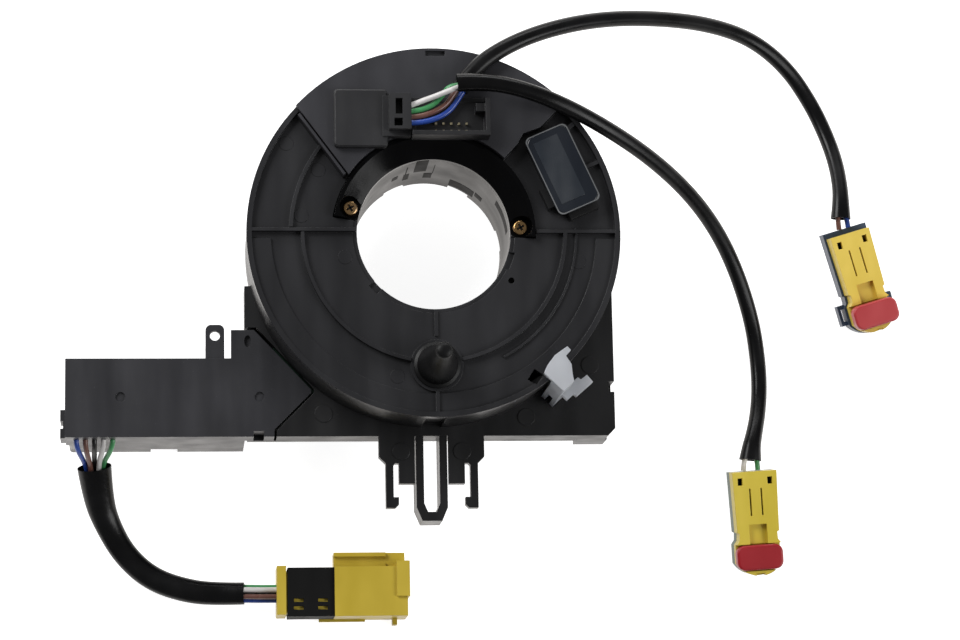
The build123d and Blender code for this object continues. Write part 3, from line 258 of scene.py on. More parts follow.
class MaterialSheet:
    """A material under construction: its tree, its shader and its coordinates."""

    def __init__(self, name: str) -> None:
        """Start a material.

        Args:
            name: Name of the material.
        """
        self.material = bpy.data.materials.new(name)
        self.material.use_nodes = True
        self.tree = self.material.node_tree
        self.shader = self.tree.nodes["Principled BSDF"]
        self.vector = self.tree.nodes.new("ShaderNodeTexCoord").outputs["Object"]

    def place(self, group: bpy.types.NodeTree, **values: object) -> bpy.types.NodeOutputs:
        """Place a shared group, with its coordinates and values set."""
        node = self.tree.nodes.new("ShaderNodeGroup")
        node.node_tree = group
        self.tree.links.new(self.vector, node.inputs["Vector"])
        for label, value in values.items():
            feed(self.tree, value, node.inputs[label.capitalize()])
        return node.outputs

    def mould(
        self, shop: Workshop, deep: Point, pale: Point, smooth: float, dull: float
    ) -> bpy.types.NodeOutputs:
        """Lay the moulded surface between two tones, and feed its roughness to the shader."""
        skin = self.place(
            shop.moulded, deep=(*deep, 1.0), pale=(*pale, 1.0), smooth=smooth, dull=dull
        )
        self.shade({"Roughness": skin["Roughness"]})
        return skin

    def shade(self, values: dict[str, object]) -> None:
        """Link or set inputs of the shader, by their labels."""
        for label, value in values.items():
            feed(self.tree, value, self.shader.inputs[label])

    def bump(
        self, height: bpy.types.NodeSocket, strength: float, distance: float, edge: float = 0.0
    ) -> None:
        """Feed a height to the shader as bump, over edges that look rounded by a small radius.

        Args:
            height: The height.
            strength: How much of it counts.
            distance: Its full height in millimetres.
            edge: Radius of the edges in millimetres.
        """
        node = self.tree.nodes.new("ShaderNodeBump")
        node.inputs["Strength"].default_value = strength
        node.inputs["Distance"].default_value = distance * MM
        self.tree.links.new(height, node.inputs["Height"])
        if edge:
            rounder = self.tree.nodes.new("ShaderNodeBevel")
            rounder.samples = 4
            rounder.inputs["Radius"].default_value = edge * MM
            self.tree.links.new(rounder.outputs["Normal"], node.inputs["Normal"])
        self.tree.links.new(node.outputs["Normal"], self.shader.inputs["Normal"])

    def paint_low_shade(self, colour: bpy.types.NodeSocket, levels: Point) -> bpy.types.NodeSocket:
        """Darken what lies low, as painted shade.

        Args:
            colour: The colour of what lies high.
            levels: The low and the high level in millimetres, and the share kept at the low one.

        Returns:
            The shaded colour.
        """
        parts = self.tree.nodes.new("ShaderNodeSeparateXYZ")
        self.tree.links.new(self.vector, parts.inputs["Vector"])
        ramp = self.tree.nodes.new("ShaderNodeMapRange")
        self.tree.links.new(parts.outputs["Z"], ramp.inputs["Value"])
        ramp.inputs["From Min"].default_value = levels[0] * MM
        ramp.inputs["From Max"].default_value = levels[1] * MM
        ramp.inputs["To Min"].default_value = levels[2]
        shade = self.tree.nodes.new("ShaderNodeVectorMath")
        shade.operation = "SCALE"
        self.tree.links.new(colour, shade.inputs["Vector"])
        self.tree.links.new(ramp.outputs["Result"], shade.inputs["Scale"])
        return shade.outputs["Vector"]


@dataclass(frozen=True)
class Finish:
    """A finish: its name, and the two tones between which its surface drifts."""

    name: str
    deep: Point
    pale: Point

    def build(self, shop: Workshop) -> bpy.types.Material:
        """Make the material.

        Args:
            shop: The shared node groups.

        Returns:
            The finished material.
        """
        raise NotImplementedError


@dataclass(frozen=True)
class MouldedPlastic(Finish):
    """A moulded plastic with cloudy tone, fine grain and a little dust, and with painted shade on what
    lies low where levels are given.
    """

    gloss: Gloss = Gloss.SATIN
    dust: float = 0.0
    through: float = 0.0
    # levels: where painted shade darkens the colour towards the low level
    levels: Point | None = None
    shine: float = 0.45

    def build(self, shop: Workshop) -> bpy.types.Material:
        """Make the material."""
        sheet = MaterialSheet(self.name)
        skin = sheet.mould(shop, self.deep, self.pale, *self.gloss.value)
        colour = skin["Color"]
        if self.dust:
            normal = sheet.tree.nodes.new("ShaderNodeNewGeometry").outputs["Normal"]
            dusted = sheet.place(shop.dust, normal=normal, color=colour, amount=self.dust)
            colour = dusted["Color"]
        # Painted shade: the colour darkens towards the low level.
        if self.levels:
            colour = sheet.paint_low_shade(colour, self.levels)
        sheet.shade({
            "Base Color": colour,
            "Transmission Weight": self.through,
            "Specular IOR Level": self.shine,
        })
        sheet.bump(skin["Height"], strength=0.18, distance=0.04, edge=0.18)
        return sheet.material


@dataclass(frozen=True)
class DrawnTube(Finish):
    """An extruded sleeve or wire insulation, with waves along it."""

    gloss: Gloss = Gloss.SHINY
    coat: float = 0.0
    wave: float = 0.15
    shine: float = 0.5

    def build(self, shop: Workshop) -> bpy.types.Material:
        """Make the material."""
        sheet = MaterialSheet(self.name)
        smooth, dull = self.gloss.value
        skin = sheet.place(shop.drawn, smooth=smooth, dull=dull)
        sheet.shade({
            "Base Color": mixed(sheet.tree, skin["Tone"], (*self.deep, 1.0), (*self.pale, 1.0)),
            "Roughness": skin["Roughness"],
            "Coat Weight": self.coat,
            "Coat Roughness": 0.10,
            "Specular IOR Level": self.shine,
        })
        sheet.bump(skin["Height"], self.wave, distance=0.12)
        return sheet.material


@dataclass(frozen=True)
class PlatedMetal(Finish):
    """A plated metal whose colour drifts over the surface."""

    gloss: Gloss = Gloss.SHINY

    def build(self, shop: Workshop) -> bpy.types.Material:
        """Make the material."""
        sheet = MaterialSheet(self.name)
        skin = sheet.mould(shop, self.deep, self.pale, *self.gloss.value)
        sheet.shade({"Base Color": skin["Color"], "Metallic": 1.0})
        sheet.bump(skin["Height"], strength=0.3, distance=0.03, edge=0.12)
        return sheet.material


@dataclass(frozen=True)
class SmokedPane(Finish):
    """A smoked translucent pane with a satin face."""

    through: float
    smooth: float = 0.16
    dull: float = 0.3

    def build(self, shop: Workshop) -> bpy.types.Material:
        """Make the material."""
        sheet = MaterialSheet(self.name)
        skin = sheet.mould(shop, self.deep, self.pale, self.smooth, self.dull)
        sheet.shade({"Base Color": skin["Color"], "Transmission Weight": self.through, "IOR": 1.45})
        sheet.bump(skin["Height"], strength=0.1, distance=0.03, edge=0.25)
        return sheet.material


# Finishes, with their tones in linear light

# Painted shade on the rotor: below 23.4 mm its colour darkens, down to 0.42 of it at 21.7 mm and lower.
ROTOR_LOW_SHADE = (21.7, 23.4, 0.42)
BLACK = MouldedPlastic(
    "black_moulding", (0.0055, 0.0055, 0.006), (0.0115, 0.0115, 0.0125), dust=0.06
)
PLATEAU = MouldedPlastic(
    "plateau_moulding", (0.026, 0.026, 0.030), (0.038, 0.038, 0.044), dust=0.10, levels=ROTOR_LOW_SHADE
)
COVER = MouldedPlastic("cover_moulding", (0.019, 0.019, 0.022), (0.031, 0.031, 0.036), dust=0.10)
LID = MouldedPlastic("lid_moulding", (0.015, 0.015, 0.017), (0.023, 0.023, 0.025), dust=0.08)
SOCKET = MouldedPlastic(
    "socket_moulding", (0.003, 0.003, 0.003), (0.006, 0.006, 0.006), Gloss.MATT, shine=0.15
)
HOUSING = MouldedPlastic("housing_moulding", (0.010, 0.010, 0.011), (0.019, 0.019, 0.021), dust=0.05)
COLLAR = MouldedPlastic(
    "gloss_moulding", (0.002, 0.002, 0.0022), (0.004, 0.004, 0.0045), Gloss.POLISHED, 0.03, shine=0.10
)
RUBBER = MouldedPlastic(
    "cone_rubber", (0.0025, 0.0025, 0.0027), (0.006, 0.006, 0.0065), dust=0.02, shine=0.2
)
ACETAL = MouldedPlastic("white_acetal", (0.72, 0.72, 0.68), (0.80, 0.80, 0.77))
YELLOW = MouldedPlastic("yellow_moulding", (0.72, 0.52, 0.062), (0.84, 0.62, 0.105), dust=0.02)
MID_YELLOW = MouldedPlastic("mid_yellow_moulding", (0.61, 0.47, 0.036), (0.72, 0.56, 0.062), dust=0.02)
DEEP_YELLOW = MouldedPlastic(
    "deep_yellow_moulding", (0.49, 0.355, 0.028), (0.61, 0.455, 0.047), dust=0.02
)
RAISED_RED = MouldedPlastic("raised_red_moulding", (0.42, 0.030, 0.036), (0.50, 0.055, 0.060), dust=0.03)
RED = MouldedPlastic("red_moulding", (0.30, 0.004, 0.010), (0.38, 0.008, 0.016), dust=0.03)
BLUE_GREY = MouldedPlastic("blue_grey_moulding", (0.022, 0.040, 0.075), (0.040, 0.062, 0.105))
GREEN = MouldedPlastic("green_moulding", (0.005, 0.042, 0.018), (0.010, 0.065, 0.028))
CLIP = MouldedPlastic("clip_nylon", (0.62, 0.64, 0.68), (0.80, 0.82, 0.86), through=0.4)
BOARD = MouldedPlastic("board_lacquer", (0.003, 0.014, 0.008), (0.006, 0.024, 0.013), Gloss.SHINY)
CHIP = MouldedPlastic("chip_resin", (0.012, 0.012, 0.012), (0.02, 0.02, 0.02), Gloss.MATT)
# Painted highlight: a paler ring stands in for the light caught along the window pane's edge.
PAINTED_RIM_HIGHLIGHT = MouldedPlastic("pane_rim_painted_highlight", (0.11, 0.115, 0.12), (0.17, 0.175, 0.18), Gloss.SHINY)
RIBBON = DrawnTube("ribbon_film", (0.45, 0.28, 0.10), (0.60, 0.42, 0.20), coat=0.3)
SLEEVE = DrawnTube(
    "sleeve_vinyl", (0.0022, 0.0022, 0.0024), (0.0055, 0.0055, 0.006), wave=0.12, shine=0.22
)
LOOM = DrawnTube("loom_vinyl", (0.0020, 0.0020, 0.0022), (0.005, 0.005, 0.0055), wave=0.4, shine=0.25)
SKINS = {
    "brown": DrawnTube("brown_insulation", (0.125, 0.052, 0.040), (0.17, 0.080, 0.062)),
    "blue": DrawnTube("blue_insulation", (0.018, 0.055, 0.30), (0.028, 0.080, 0.38)),
    "white": DrawnTube("white_insulation", (0.62, 0.60, 0.59), (0.74, 0.72, 0.71)),
    "green": DrawnTube("green_insulation", (0.045, 0.25, 0.085), (0.070, 0.33, 0.12)),
    "black": DrawnTube("black_insulation", (0.006, 0.006, 0.006), (0.011, 0.011, 0.011)),
}
PASSIVATED = PlatedMetal("passivated_screw", (0.42, 0.25, 0.09), (0.90, 0.66, 0.46))
GILT = PlatedMetal("gilt_contact", (0.72, 0.60, 0.34), (0.88, 0.80, 0.58))
STEEL = PlatedMetal("magnet_steel", (0.35, 0.35, 0.36), (0.45, 0.45, 0.46), Gloss.SATIN)
PANE = SmokedPane("smoked_pane", (0.010, 0.013, 0.019), (0.020, 0.024, 0.032), through=0.15)
PANEL = SmokedPane("window_panel_film", (0.012, 0.017, 0.025), (0.055, 0.060, 0.068), through=0.10)

# The finish of each node, and the radius of the edges of its softened copy in millimetres, or 0
DRESSING = {
    "base_frame": (BLACK, 0.15),
    "back_plate": (BLACK, 0.15),
    "sensor_box": (COVER, 0.2),
    "box_cover": (COVER, 0.18),
    "rotor_disc": (PLATEAU, 0.14),
    "hub_sleeve": (BLACK, 0.12),
    "terminal_cover": (LID, 0.0),
    "socket_housing": (HOUSING, 0.1),
    "window_bezel": (BLACK, 0.15),
    "wire_header": (SOCKET, 0.0),
    "loom_plug_retainer": (SOCKET, 0.1),
    "hub_collar": (COLLAR, 0.15),
    "drive_gear": (ACETAL, 0.0),
    "first_gear": (ACETAL, 0.0),
    "second_gear": (ACETAL, 0.0),
    "first_magnet": (STEEL, 0.0),
    "second_magnet": (STEEL, 0.0),
    "flat_cable": (RIBBON, 0.0),
    "circuit_board": (BOARD, 0.0),
    "board_chips": (CHIP, 0.0),
    "collar_screws": (PASSIVATED, 0.0),
    "socket_pins": (GILT, 0.0),
    "first_plug_contacts": (GILT, 0.0),
    "second_plug_contacts": (GILT, 0.0),
    "sight_window": (PANE, 0.0),
    "rubber_cone": (RUBBER, 0.0),
    "transport_lock": (CLIP, 0.15),
    "first_plug_front": (YELLOW, 0.15),
    "second_plug_front": (MID_YELLOW, 0.15),
    "loom_plug_body": (DEEP_YELLOW, 0.25),
    "first_plug_back": (BLUE_GREY, 0.15),
    "second_plug_back": (GREEN, 0.15),
    "first_plug_lock": (RAISED_RED, 0.0),
    "second_plug_lock": (RED, 0.0),
}


# Mesh helpers

SHORTEST_EDGE = 2.2  # in radii


class Form:
    """A mesh under construction with bmesh operators, ended as one piece on a body."""

    def __init__(self, mesh: bmesh.types.BMesh | None = None) -> None:
        """Start empty, or from a mesh that is there."""
        self.mesh = mesh or bmesh.new()

    def block(self, size: Point, place: Matrix, round_by: float = 0.0) -> None:
        """Add a block with rounded edges.

        Args:
            size: Its sizes in millimetres.
            place: Where its centre goes, in millimetres.
            round_by: Radius of its edges in millimetres.
        """
        made = bmesh.ops.create_cube(self.mesh, size=1.0)
        corners = made["verts"]
        bmesh.ops.scale(self.mesh, vec=Vector(size), verts=corners)
        if round_by:
            edges = list({edge for corner in corners for edge in corner.link_edges})
            rounded = bmesh.ops.bevel(
                self.mesh,
                geom=edges,
                offset=round_by,
                offset_type="OFFSET",
                segments=2,
                profile=0.5,
                affect="EDGES",
                material=-1,
            )
            corners = list({corner for face in rounded["faces"] for corner in face.verts} | {
                corner for corner in corners if corner.is_valid
            })
        bmesh.ops.transform(self.mesh, matrix=place, verts=corners)

    def disc(self, radius: float, height: float, place: Matrix, taper: float = 0.97) -> None:
        """Add an upright disc whose foot stands on a place, with a smaller upper edge."""
        made = bmesh.ops.create_cone(
            self.mesh, cap_ends=True, segments=40, radius1=radius, radius2=radius * taper, depth=height
        )
        lifted = place @ Matrix.Translation((0, 0, height / 2))
        bmesh.ops.transform(self.mesh, matrix=lifted, verts=made["verts"])

    def skin(self, rows: list[list[bmesh.types.BMVert]]) -> None:
        """Join rows of corners with faces; each row is a closed loop."""
        for first, second in zip(rows, rows[1:]):
            for k in range(len(first)):
                after = (k + 1) % len(first)
                self.mesh.faces.new((first[k], first[after], second[after], second[k]))

    def finish(
        self, name: str, material: bpy.types.Material, body: Body, slot: str, unit: float = MM
    ) -> bpy.types.Object:
        """End the mesh as a piece.

        Args:
            name: Name of the piece.
            material: Its finish.
            body: The body that it rides on.
            slot: The record's material slot; not used.
            unit: Metres in one unit of the mesh.

        Returns:
            The piece.
        """
        bmesh.ops.scale(self.mesh, vec=Vector((unit, unit, unit)), verts=self.mesh.verts)
        data = bpy.data.meshes.new(name)
        bmesh.ops.recalc_face_normals(self.mesh, faces=self.mesh.faces)
        self.mesh.to_mesh(data)
        self.mesh.free()
        data.shade_smooth()
        data.set_sharp_from_angle(angle=SMOOTH_ANGLE)
        data.materials.append(material)
        piece = placed(name, data)
        piece.modifiers.new("flat_faces", "WEIGHTED_NORMAL").keep_sharp = True
        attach(piece, body.value)
        return piece


def softened_copy(node: str, radius: float) -> bmesh.types.BMesh:
    """Copy a node's mesh, merge it into whole faces and round its sharp edges.

    Args:
        node: Name of the node.
        radius: Radius of the edges in millimetres.

    Returns:
        The rounded mesh, in metres.
    """
    mesh = bmesh.new()
    mesh.from_mesh(NODES[node].data)
    bmesh.ops.remove_doubles(mesh, verts=mesh.verts, dist=MERGE_DISTANCE)
    bmesh.ops.dissolve_limit(
        mesh,
        angle_limit=math.radians(0.5),
        verts=mesh.verts,
        edges=mesh.edges,
        use_dissolve_boundaries=False,
    )
    sharp = [
        edge
        for edge in mesh.edges
        if len(edge.link_faces) == 2
        and edge.calc_face_angle(0.0) > SMOOTH_ANGLE
        and edge.calc_length() > SHORTEST_EDGE * radius * MM
    ]
    bmesh.ops.bevel(
        mesh,
        geom=sharp,
        offset=radius * MM,
        offset_type="OFFSET",
        segments=2,
        profile=0.5,
        affect="EDGES",
        clamp_overlap=True,
        material=-1,
    )
    return mesh


@dataclass
class Dresser:
    """Makes each finish once, and gives every node of the model its own."""

    shop: Workshop
    materials: dict[str, bpy.types.Material] = field(default_factory=dict)

    def material(self, finish: Finish) -> bpy.types.Material:
        """Make a finish's material, or return it if it's there."""
        if finish.name not in self.materials:
            self.materials[finish.name] = finish.build(self.shop)
        return self.materials[finish.name]

    def dress_all(self) -> None:
        """Put its finish on every node that is named in the dressing list."""
        for node, (finish, _) in DRESSING.items():
            materials = NODES[node].data.materials
            materials.clear()
            materials.append(self.material(finish))
            log.info("%s: %s", node, finish.name)


# Camera, light and floor


@dataclass
class Studio:
    """The camera at the photograph's angle, the soft lights and the pale floor.

    Places and sizes are in metres, the lens and the sensor in millimetres, powers in watts.
    """

    camera_at: Point = (-0.0769, -0.19705, 0.8917)
    right: Point = (0.9950, -0.0194, 0.0984)
    up: Point = (0.0, 0.9812, 0.1933)
    back: Point = (-0.1003, -0.1923, 0.9762)
    lens: float = 117.98
    sensor: float = 36.0
    sky: float = 0.16
    paper_glow: float = 0.88
    paper_sheen: Point = (0.98, 0.94, 0.90)
    paper_tone: Point = (0.82, 0.82, 0.82)
    floor_gap: float = 0.0004
    floor_size: float = 4.0
    lamps: tuple[tuple[str, Point, Pair, float], ...] = (
        ("key_softbox", (-0.85, 0.65, 0.85), (0.7, 0.7), 14.0),
        ("fill_softbox", (0.95, -0.35, 0.8), (0.7, 0.7), 8.0),
        ("rim_softbox", (0.10, 1.25, 0.55), (1.2, 0.4), 7.0),
    )

    def build(self) -> None:
        """Make the camera, the lights, the world and the floor."""
        self.camera()
        for lamp in self.lamps:
            self.lamp(*lamp)
        self.world()
        self.floor()

    def camera(self) -> None:
        """Make the camera."""
        data = bpy.data.cameras.new("camera")
        data.lens = self.lens
        data.sensor_width = self.sensor
        data.clip_start = 0.01
        data.clip_end = 20.0
        camera = placed("camera", data)
        turn = Matrix((self.right, self.up, self.back)).transposed().to_4x4()
        camera.matrix_world = Matrix.Translation(self.camera_at) @ turn
        bpy.context.scene.camera = camera

    def lamp(self, name: str, place: Point, size: Pair, power: float) -> None:
        """Make a soft light that points at the object."""
        data = bpy.data.lights.new(name, "AREA")
        data.shape = "RECTANGLE"
        data.size, data.size_y = size
        data.energy = power
        lamp = placed(name, data)
        lamp.location = place
        lamp.rotation_mode = "QUATERNION"
        lamp.rotation_quaternion = (-Vector(place)).to_track_quat("-Z", "Y")

    def world(self) -> None:
        """Make the surroundings: white to the eye, and dim as a light."""
        world = bpy.data.worlds.new("studio")
        world.use_nodes = True
        bpy.context.scene.world = world
        tree = world.node_tree
        background = tree.nodes["Background"]
        background.inputs["Color"].default_value = (1.0, 1.0, 1.0, 1.0)
        path = tree.nodes.new("ShaderNodeLightPath")
        seen = tree.nodes.new("ShaderNodeMath")
        seen.operation = "MULTIPLY_ADD"
        seen.inputs[1].default_value = 1.0 - self.sky
        seen.inputs[2].default_value = self.sky
        tree.links.new(path.outputs["Is Camera Ray"], seen.inputs[0])
        tree.links.new(seen.outputs[0], background.inputs["Strength"])

    def floor(self) -> None:
        """Make the floor under the lowest point of the model."""
        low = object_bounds()[0].z - self.floor_gap
        mesh = bmesh.new()
        bmesh.ops.create_grid(mesh, x_segments=1, y_segments=1, size=self.floor_size / 2)
        bmesh.ops.translate(mesh, vec=Vector((0, 0, low)), verts=mesh.verts)
        data = bpy.data.meshes.new("floor")
        mesh.to_mesh(data)
        mesh.free()
        placed("floor", data)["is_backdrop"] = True
        data.materials.append(self.paper())

    def paper(self) -> bpy.types.Material:
        """Make the floor's paper: white to the eye and in reflections, but with its shadow."""
        material = bpy.data.materials.new("floor_paper")
        material.use_nodes = True
        tree = material.node_tree
        tree.nodes.clear()
        path, glow, matt, both, end, seen = (
            tree.nodes.new(f"ShaderNode{kind}")
            for kind in ("LightPath", "Emission", "BsdfDiffuse", "AddShader", "OutputMaterial", "Math")
        )
        matt.inputs["Color"].default_value = (*self.paper_tone, 1.0)
        seen.operation = "MAXIMUM"
        tree.links.new(path.outputs["Is Camera Ray"], seen.inputs[0])
        tree.links.new(path.outputs["Is Transmission Ray"], seen.inputs[1])
        dark, sheen = (0.0, 0.0, 0.0, 1.0), (*self.paper_sheen, 1.0)
        tints = mixed(tree, path.outputs["Is Glossy Ray"], dark, sheen)
        white = mixed(tree, seen.outputs[0], tints, (*[self.paper_glow] * 3, 1.0))
        tree.links.new(white, glow.inputs["Color"])
        tree.links.new(glow.outputs[0], both.inputs[0])
        tree.links.new(matt.outputs[0], both.inputs[1])
        tree.links.new(both.outputs[0], end.inputs["Surface"])
        return material


# Cords


def beside(route: list[Point], across: float, rise: float = 0.0) -> list[Point]:
    """Work out a route that runs beside another one.

    Args:
        route: The points of the other route, in millimetres.
        across: How far it lies to the left, in millimetres.
        rise: How far it lies above, in millimetres.

    Returns:
        The moved points.
    """
    moved = []
    for k, point in enumerate(route):
        before = route[max(k - 1, 0)]
        after = route[min(k + 1, len(route) - 1)]
        headings = [
            math.atan2(b[1] - a[1], b[0] - a[0])
            for a, b in ((before, point), (point, after))
            if a != b
        ]
        turn = (headings[-1] - headings[0] + math.pi) % (2 * math.pi) - math.pi
        left = headings[0] + turn / 2 + math.pi / 2
        reach = across / math.cos(turn / 2)
        x, y, z = point
        moved.append((x + reach * math.cos(left), y + reach * math.sin(left), z + rise))
    return moved


def twisted(route: list[Point], side: float) -> list[Point]:
    """Work out a wire's route inside a sleeve, with half a turn round the sleeve's own line.

    Args:
        route: The points of the sleeve, in millimetres.
        side: How far the wire starts to the left, in millimetres.

    Returns:
        The wire's points, which end as far to the right.
    """
    turned = []
    for k in range(len(route)):
        angle = math.pi * k / (len(route) - 1)
        turned.append(beside(route, side * math.cos(angle), side * math.sin(angle))[k])
    return turned


@dataclass
class Cord:
    """One sleeve or wire on its own smooth line.

    The lengths of its fields are in millimetres. The radii are shares of its width at each point
    of the route, and the lobes are the share by which its waist is pinched.
    """

    name: str
    route: list[Point]
    body: Body
    slot: str
    length: float
    width: float
    height: float
    radii: list[float] = field(default_factory=list)
    far_end: str = "object"
    end_pieces: list[str] = field(default_factory=list)
    stiffness: str = "medium"
    wall: float = 0.0
    lobes: float = 0.0
    waist: float = 0.35
    section_steps: int = 28

    def line(self) -> bpy.types.Curve:
        """Make the cord's smooth line.

        Returns:
            A curve with one open spline whose control points are the route's.
        """
        curve = bpy.data.curves.new(self.name, "CURVE")
        curve.dimensions = "3D"
        curve.twist_mode = "Z_UP"
        curve.resolution_u = 10
        spline = curve.splines.new("NURBS")
        spline.points.add(len(self.route) - 1)
        radii = self.radii or [1.0] * len(self.route)
        for point, place, radius in zip(spline.points, metres(self.route), radii):
            point.co = (*place, 1.0)
            point.radius = radius
        spline.order_u = 3
        spline.use_endpoint_u = True
        return curve

    def profile(self) -> bpy.types.Object:
        """Make the cord's cross-section: an oval whose waist is pinched where it has lobes."""
        curve = bpy.data.curves.new(f"{self.name}_section", "CURVE")
        curve.dimensions = "2D"
        spline = curve.splines.new("POLY")
        spline.points.add(self.section_steps - 1)
        for k, point in enumerate(spline.points):
            angle = 2 * math.pi * k / self.section_steps
            across = self.width / 2 * MM * math.cos(angle)
            up = self.height / 2 * MM * math.sin(angle)
            kept = 1 - self.lobes * math.exp(-((math.cos(angle) / self.waist) ** 2))
            point.co = (across, up * kept, 0.0, 1.0)
        spline.use_cyclic_u = True
        return placed(f"{self.name}_section", curve)

    def meshed(self, curve: bpy.types.Curve) -> bpy.types.Mesh:
        """Turn a curve into a mesh."""
        holder = placed(f"{self.name}_line", curve)
        graph = bpy.context.evaluated_depsgraph_get()
        mesh = bpy.data.meshes.new_from_object(holder.evaluated_get(graph), depsgraph=graph)
        bpy.data.objects.remove(holder)
        return mesh

    def build(self, material: bpy.types.Material) -> None:
        path = [tuple(vertex.co) for vertex in self.meshed(self.line()).vertices]
        curve = self.line()
        section = self.profile()
        curve.bevel_mode = "OBJECT"
        curve.bevel_object = section
        curve.use_fill_caps = not self.wall
        data = self.meshed(curve)
        bpy.data.objects.remove(section)
        data.name = self.name
        data.materials.clear()
        data.materials.append(material)
        self.close(data)
        data.shade_smooth()
        data.set_sharp_from_angle(angle=TUBE_SMOOTH_ANGLE)
        tube = placed(f"{self.name}_tube", data)
        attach(tube, self.body.value)
        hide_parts(self.name)

    def close(self, data: bpy.types.Mesh) -> None:
        """Merge the seams of a tube and give an open one its wall."""
        mesh = bmesh.new()
        mesh.from_mesh(data)
        bmesh.ops.remove_doubles(mesh, verts=mesh.verts, dist=MERGE_DISTANCE)
        bmesh.ops.recalc_face_normals(mesh, faces=mesh.faces)
        if self.wall:
            bmesh.ops.solidify(mesh, geom=mesh.faces[:], thickness=self.wall * MM)
        mesh.to_mesh(data)
        mesh.free()


# Routes in millimetres, from the cassette or the box to the plug
FIRST_LEAD = [
    (7.4, 40.6, 26.6), (11.6, 46.8, 27.0), (21.3, 53.7, 26.5), (34.1, 59.9, 22.5),
    (50.2, 65.3, 15.0), (68.0, 68.7, 5.0), (85.8, 70.2, -5.5), (100.8, 68.4, -15.0),
    (112.6, 61.2, -21.5), (120.3, 50.6, -24.6), (124.4, 40.6, -24.0), (126.4, 31.6, -21.4),
    (126.9, 23.6, -18.8), (126.6, 17.6, -17.4), (126.4, 13.2, -17.6),
]
SECOND_LEAD = [
    (6.3, 41.1, 31.4), (13.4, 41.6, 31.7), (24.9, 39.9, 30.6), (37.8, 35.7, 27.5),
    (51.9, 30.1, 20.5), (65.8, 23.8, 10.5), (78.3, 16.0, -0.5), (87.9, 6.9, -11.0),
    (94.8, -4.1, -19.4), (99.5, -17.2, -24.4), (101.0, -29.0, -25.3), (100.9, -38.0, -24.2),
    (99.6, -45.8, -21.6), (97.8, -52.2, -18.9), (96.5, -56.6, -17.6), (96.14, -60.18, -17.86),
]
LOOM_ROUTE = [
    (-96.6, -61.8, -14.5), (-95.6, -70.1, -19.5), (-93.1, -77.3, -22.8), (-88.1, -86.3, -23.8),
    (-80.0, -93.6, -23.8), (-69.1, -97.2, -23.8), (-59.8, -97.9, -23.4), (-53.4, -97.9, -22.6),
]
LOOM_END = [(-48.6, -98.1, -22.0), (-44.1, -98.1, -22.0)]


@dataclass(frozen=True)
class LeadWire:
    """One wire of a lead: its side of the sleeve, its fan at the latch and its end in the plug."""

    colour: str
    lead: list[Point]
    side: float
    length: float
    fan: list[Point]
    end: list[Point]


LEAD_WIRES = (
    LeadWire(
        "brown", FIRST_LEAD, 0.9, 201.6,
        fan=[(-6.7, 32.1, 27.3), (-4.9, 32.2, 27.3), (-2.6, 32.7, 27.3), (0.8, 34.0, 27.3),
             (3.6, 36.0, 27.1), (5.4, 38.6, 26.9)],
        end=[(125.5, 12.9, -17.75), (125.9, 9.9, -18.15)],
    ),
    LeadWire(
        "blue", FIRST_LEAD, -0.9, 199.6,
        fan=[(-6.7, 30.4, 27.3), (-4.9, 30.45, 27.3), (-2.4, 30.8, 27.3), (1.2, 31.9, 27.3),
             (4.4, 33.9, 27.1), (6.8, 37.2, 26.9)],
        end=[(128.2, 13.6, -17.75), (128.7, 10.6, -18.15)],
    ),
    LeadWire(
        "white", SECOND_LEAD, 0.9, 197.3,
        fan=[(-6.7, 35.5, 27.5), (-5.2, 36.0, 27.7), (-2.6, 36.9, 28.3), (1.0, 38.0, 29.4),
             (4.2, 39.1, 30.7)],
        end=[(94.2, -60.4, -17.9), (94.0, -63.3, -18.4)],
    ),
    LeadWire(
        "green", SECOND_LEAD, -0.9, 194.9,
        fan=[(-6.7, 33.8, 27.3), (-5.0, 34.0, 27.3), (-2.4, 34.6, 27.3), (0.4, 36.2, 27.5),
             (2.6, 38.6, 28.7), (4.4, 40.7, 30.4)],
        end=[(98.2, -60.0, -17.9), (98.4, -63.0, -18.4)],
    ),
)

# Colour, x in the box's mouth, place in the sleeve and length of each wire of the loom
LOOM_WIRES = (
    ("blue", -101.6, (-1.9, -0.5), 90.8),
    ("brown", -99.0, (-1.0, 1.1), 87.8),
    ("black", -96.4, (0.0, -1.0), 88.0),
    ("white", -93.8, (1.0, 1.1), 84.9),
    ("green", -91.2, (1.9, -0.5), 85.2),
)


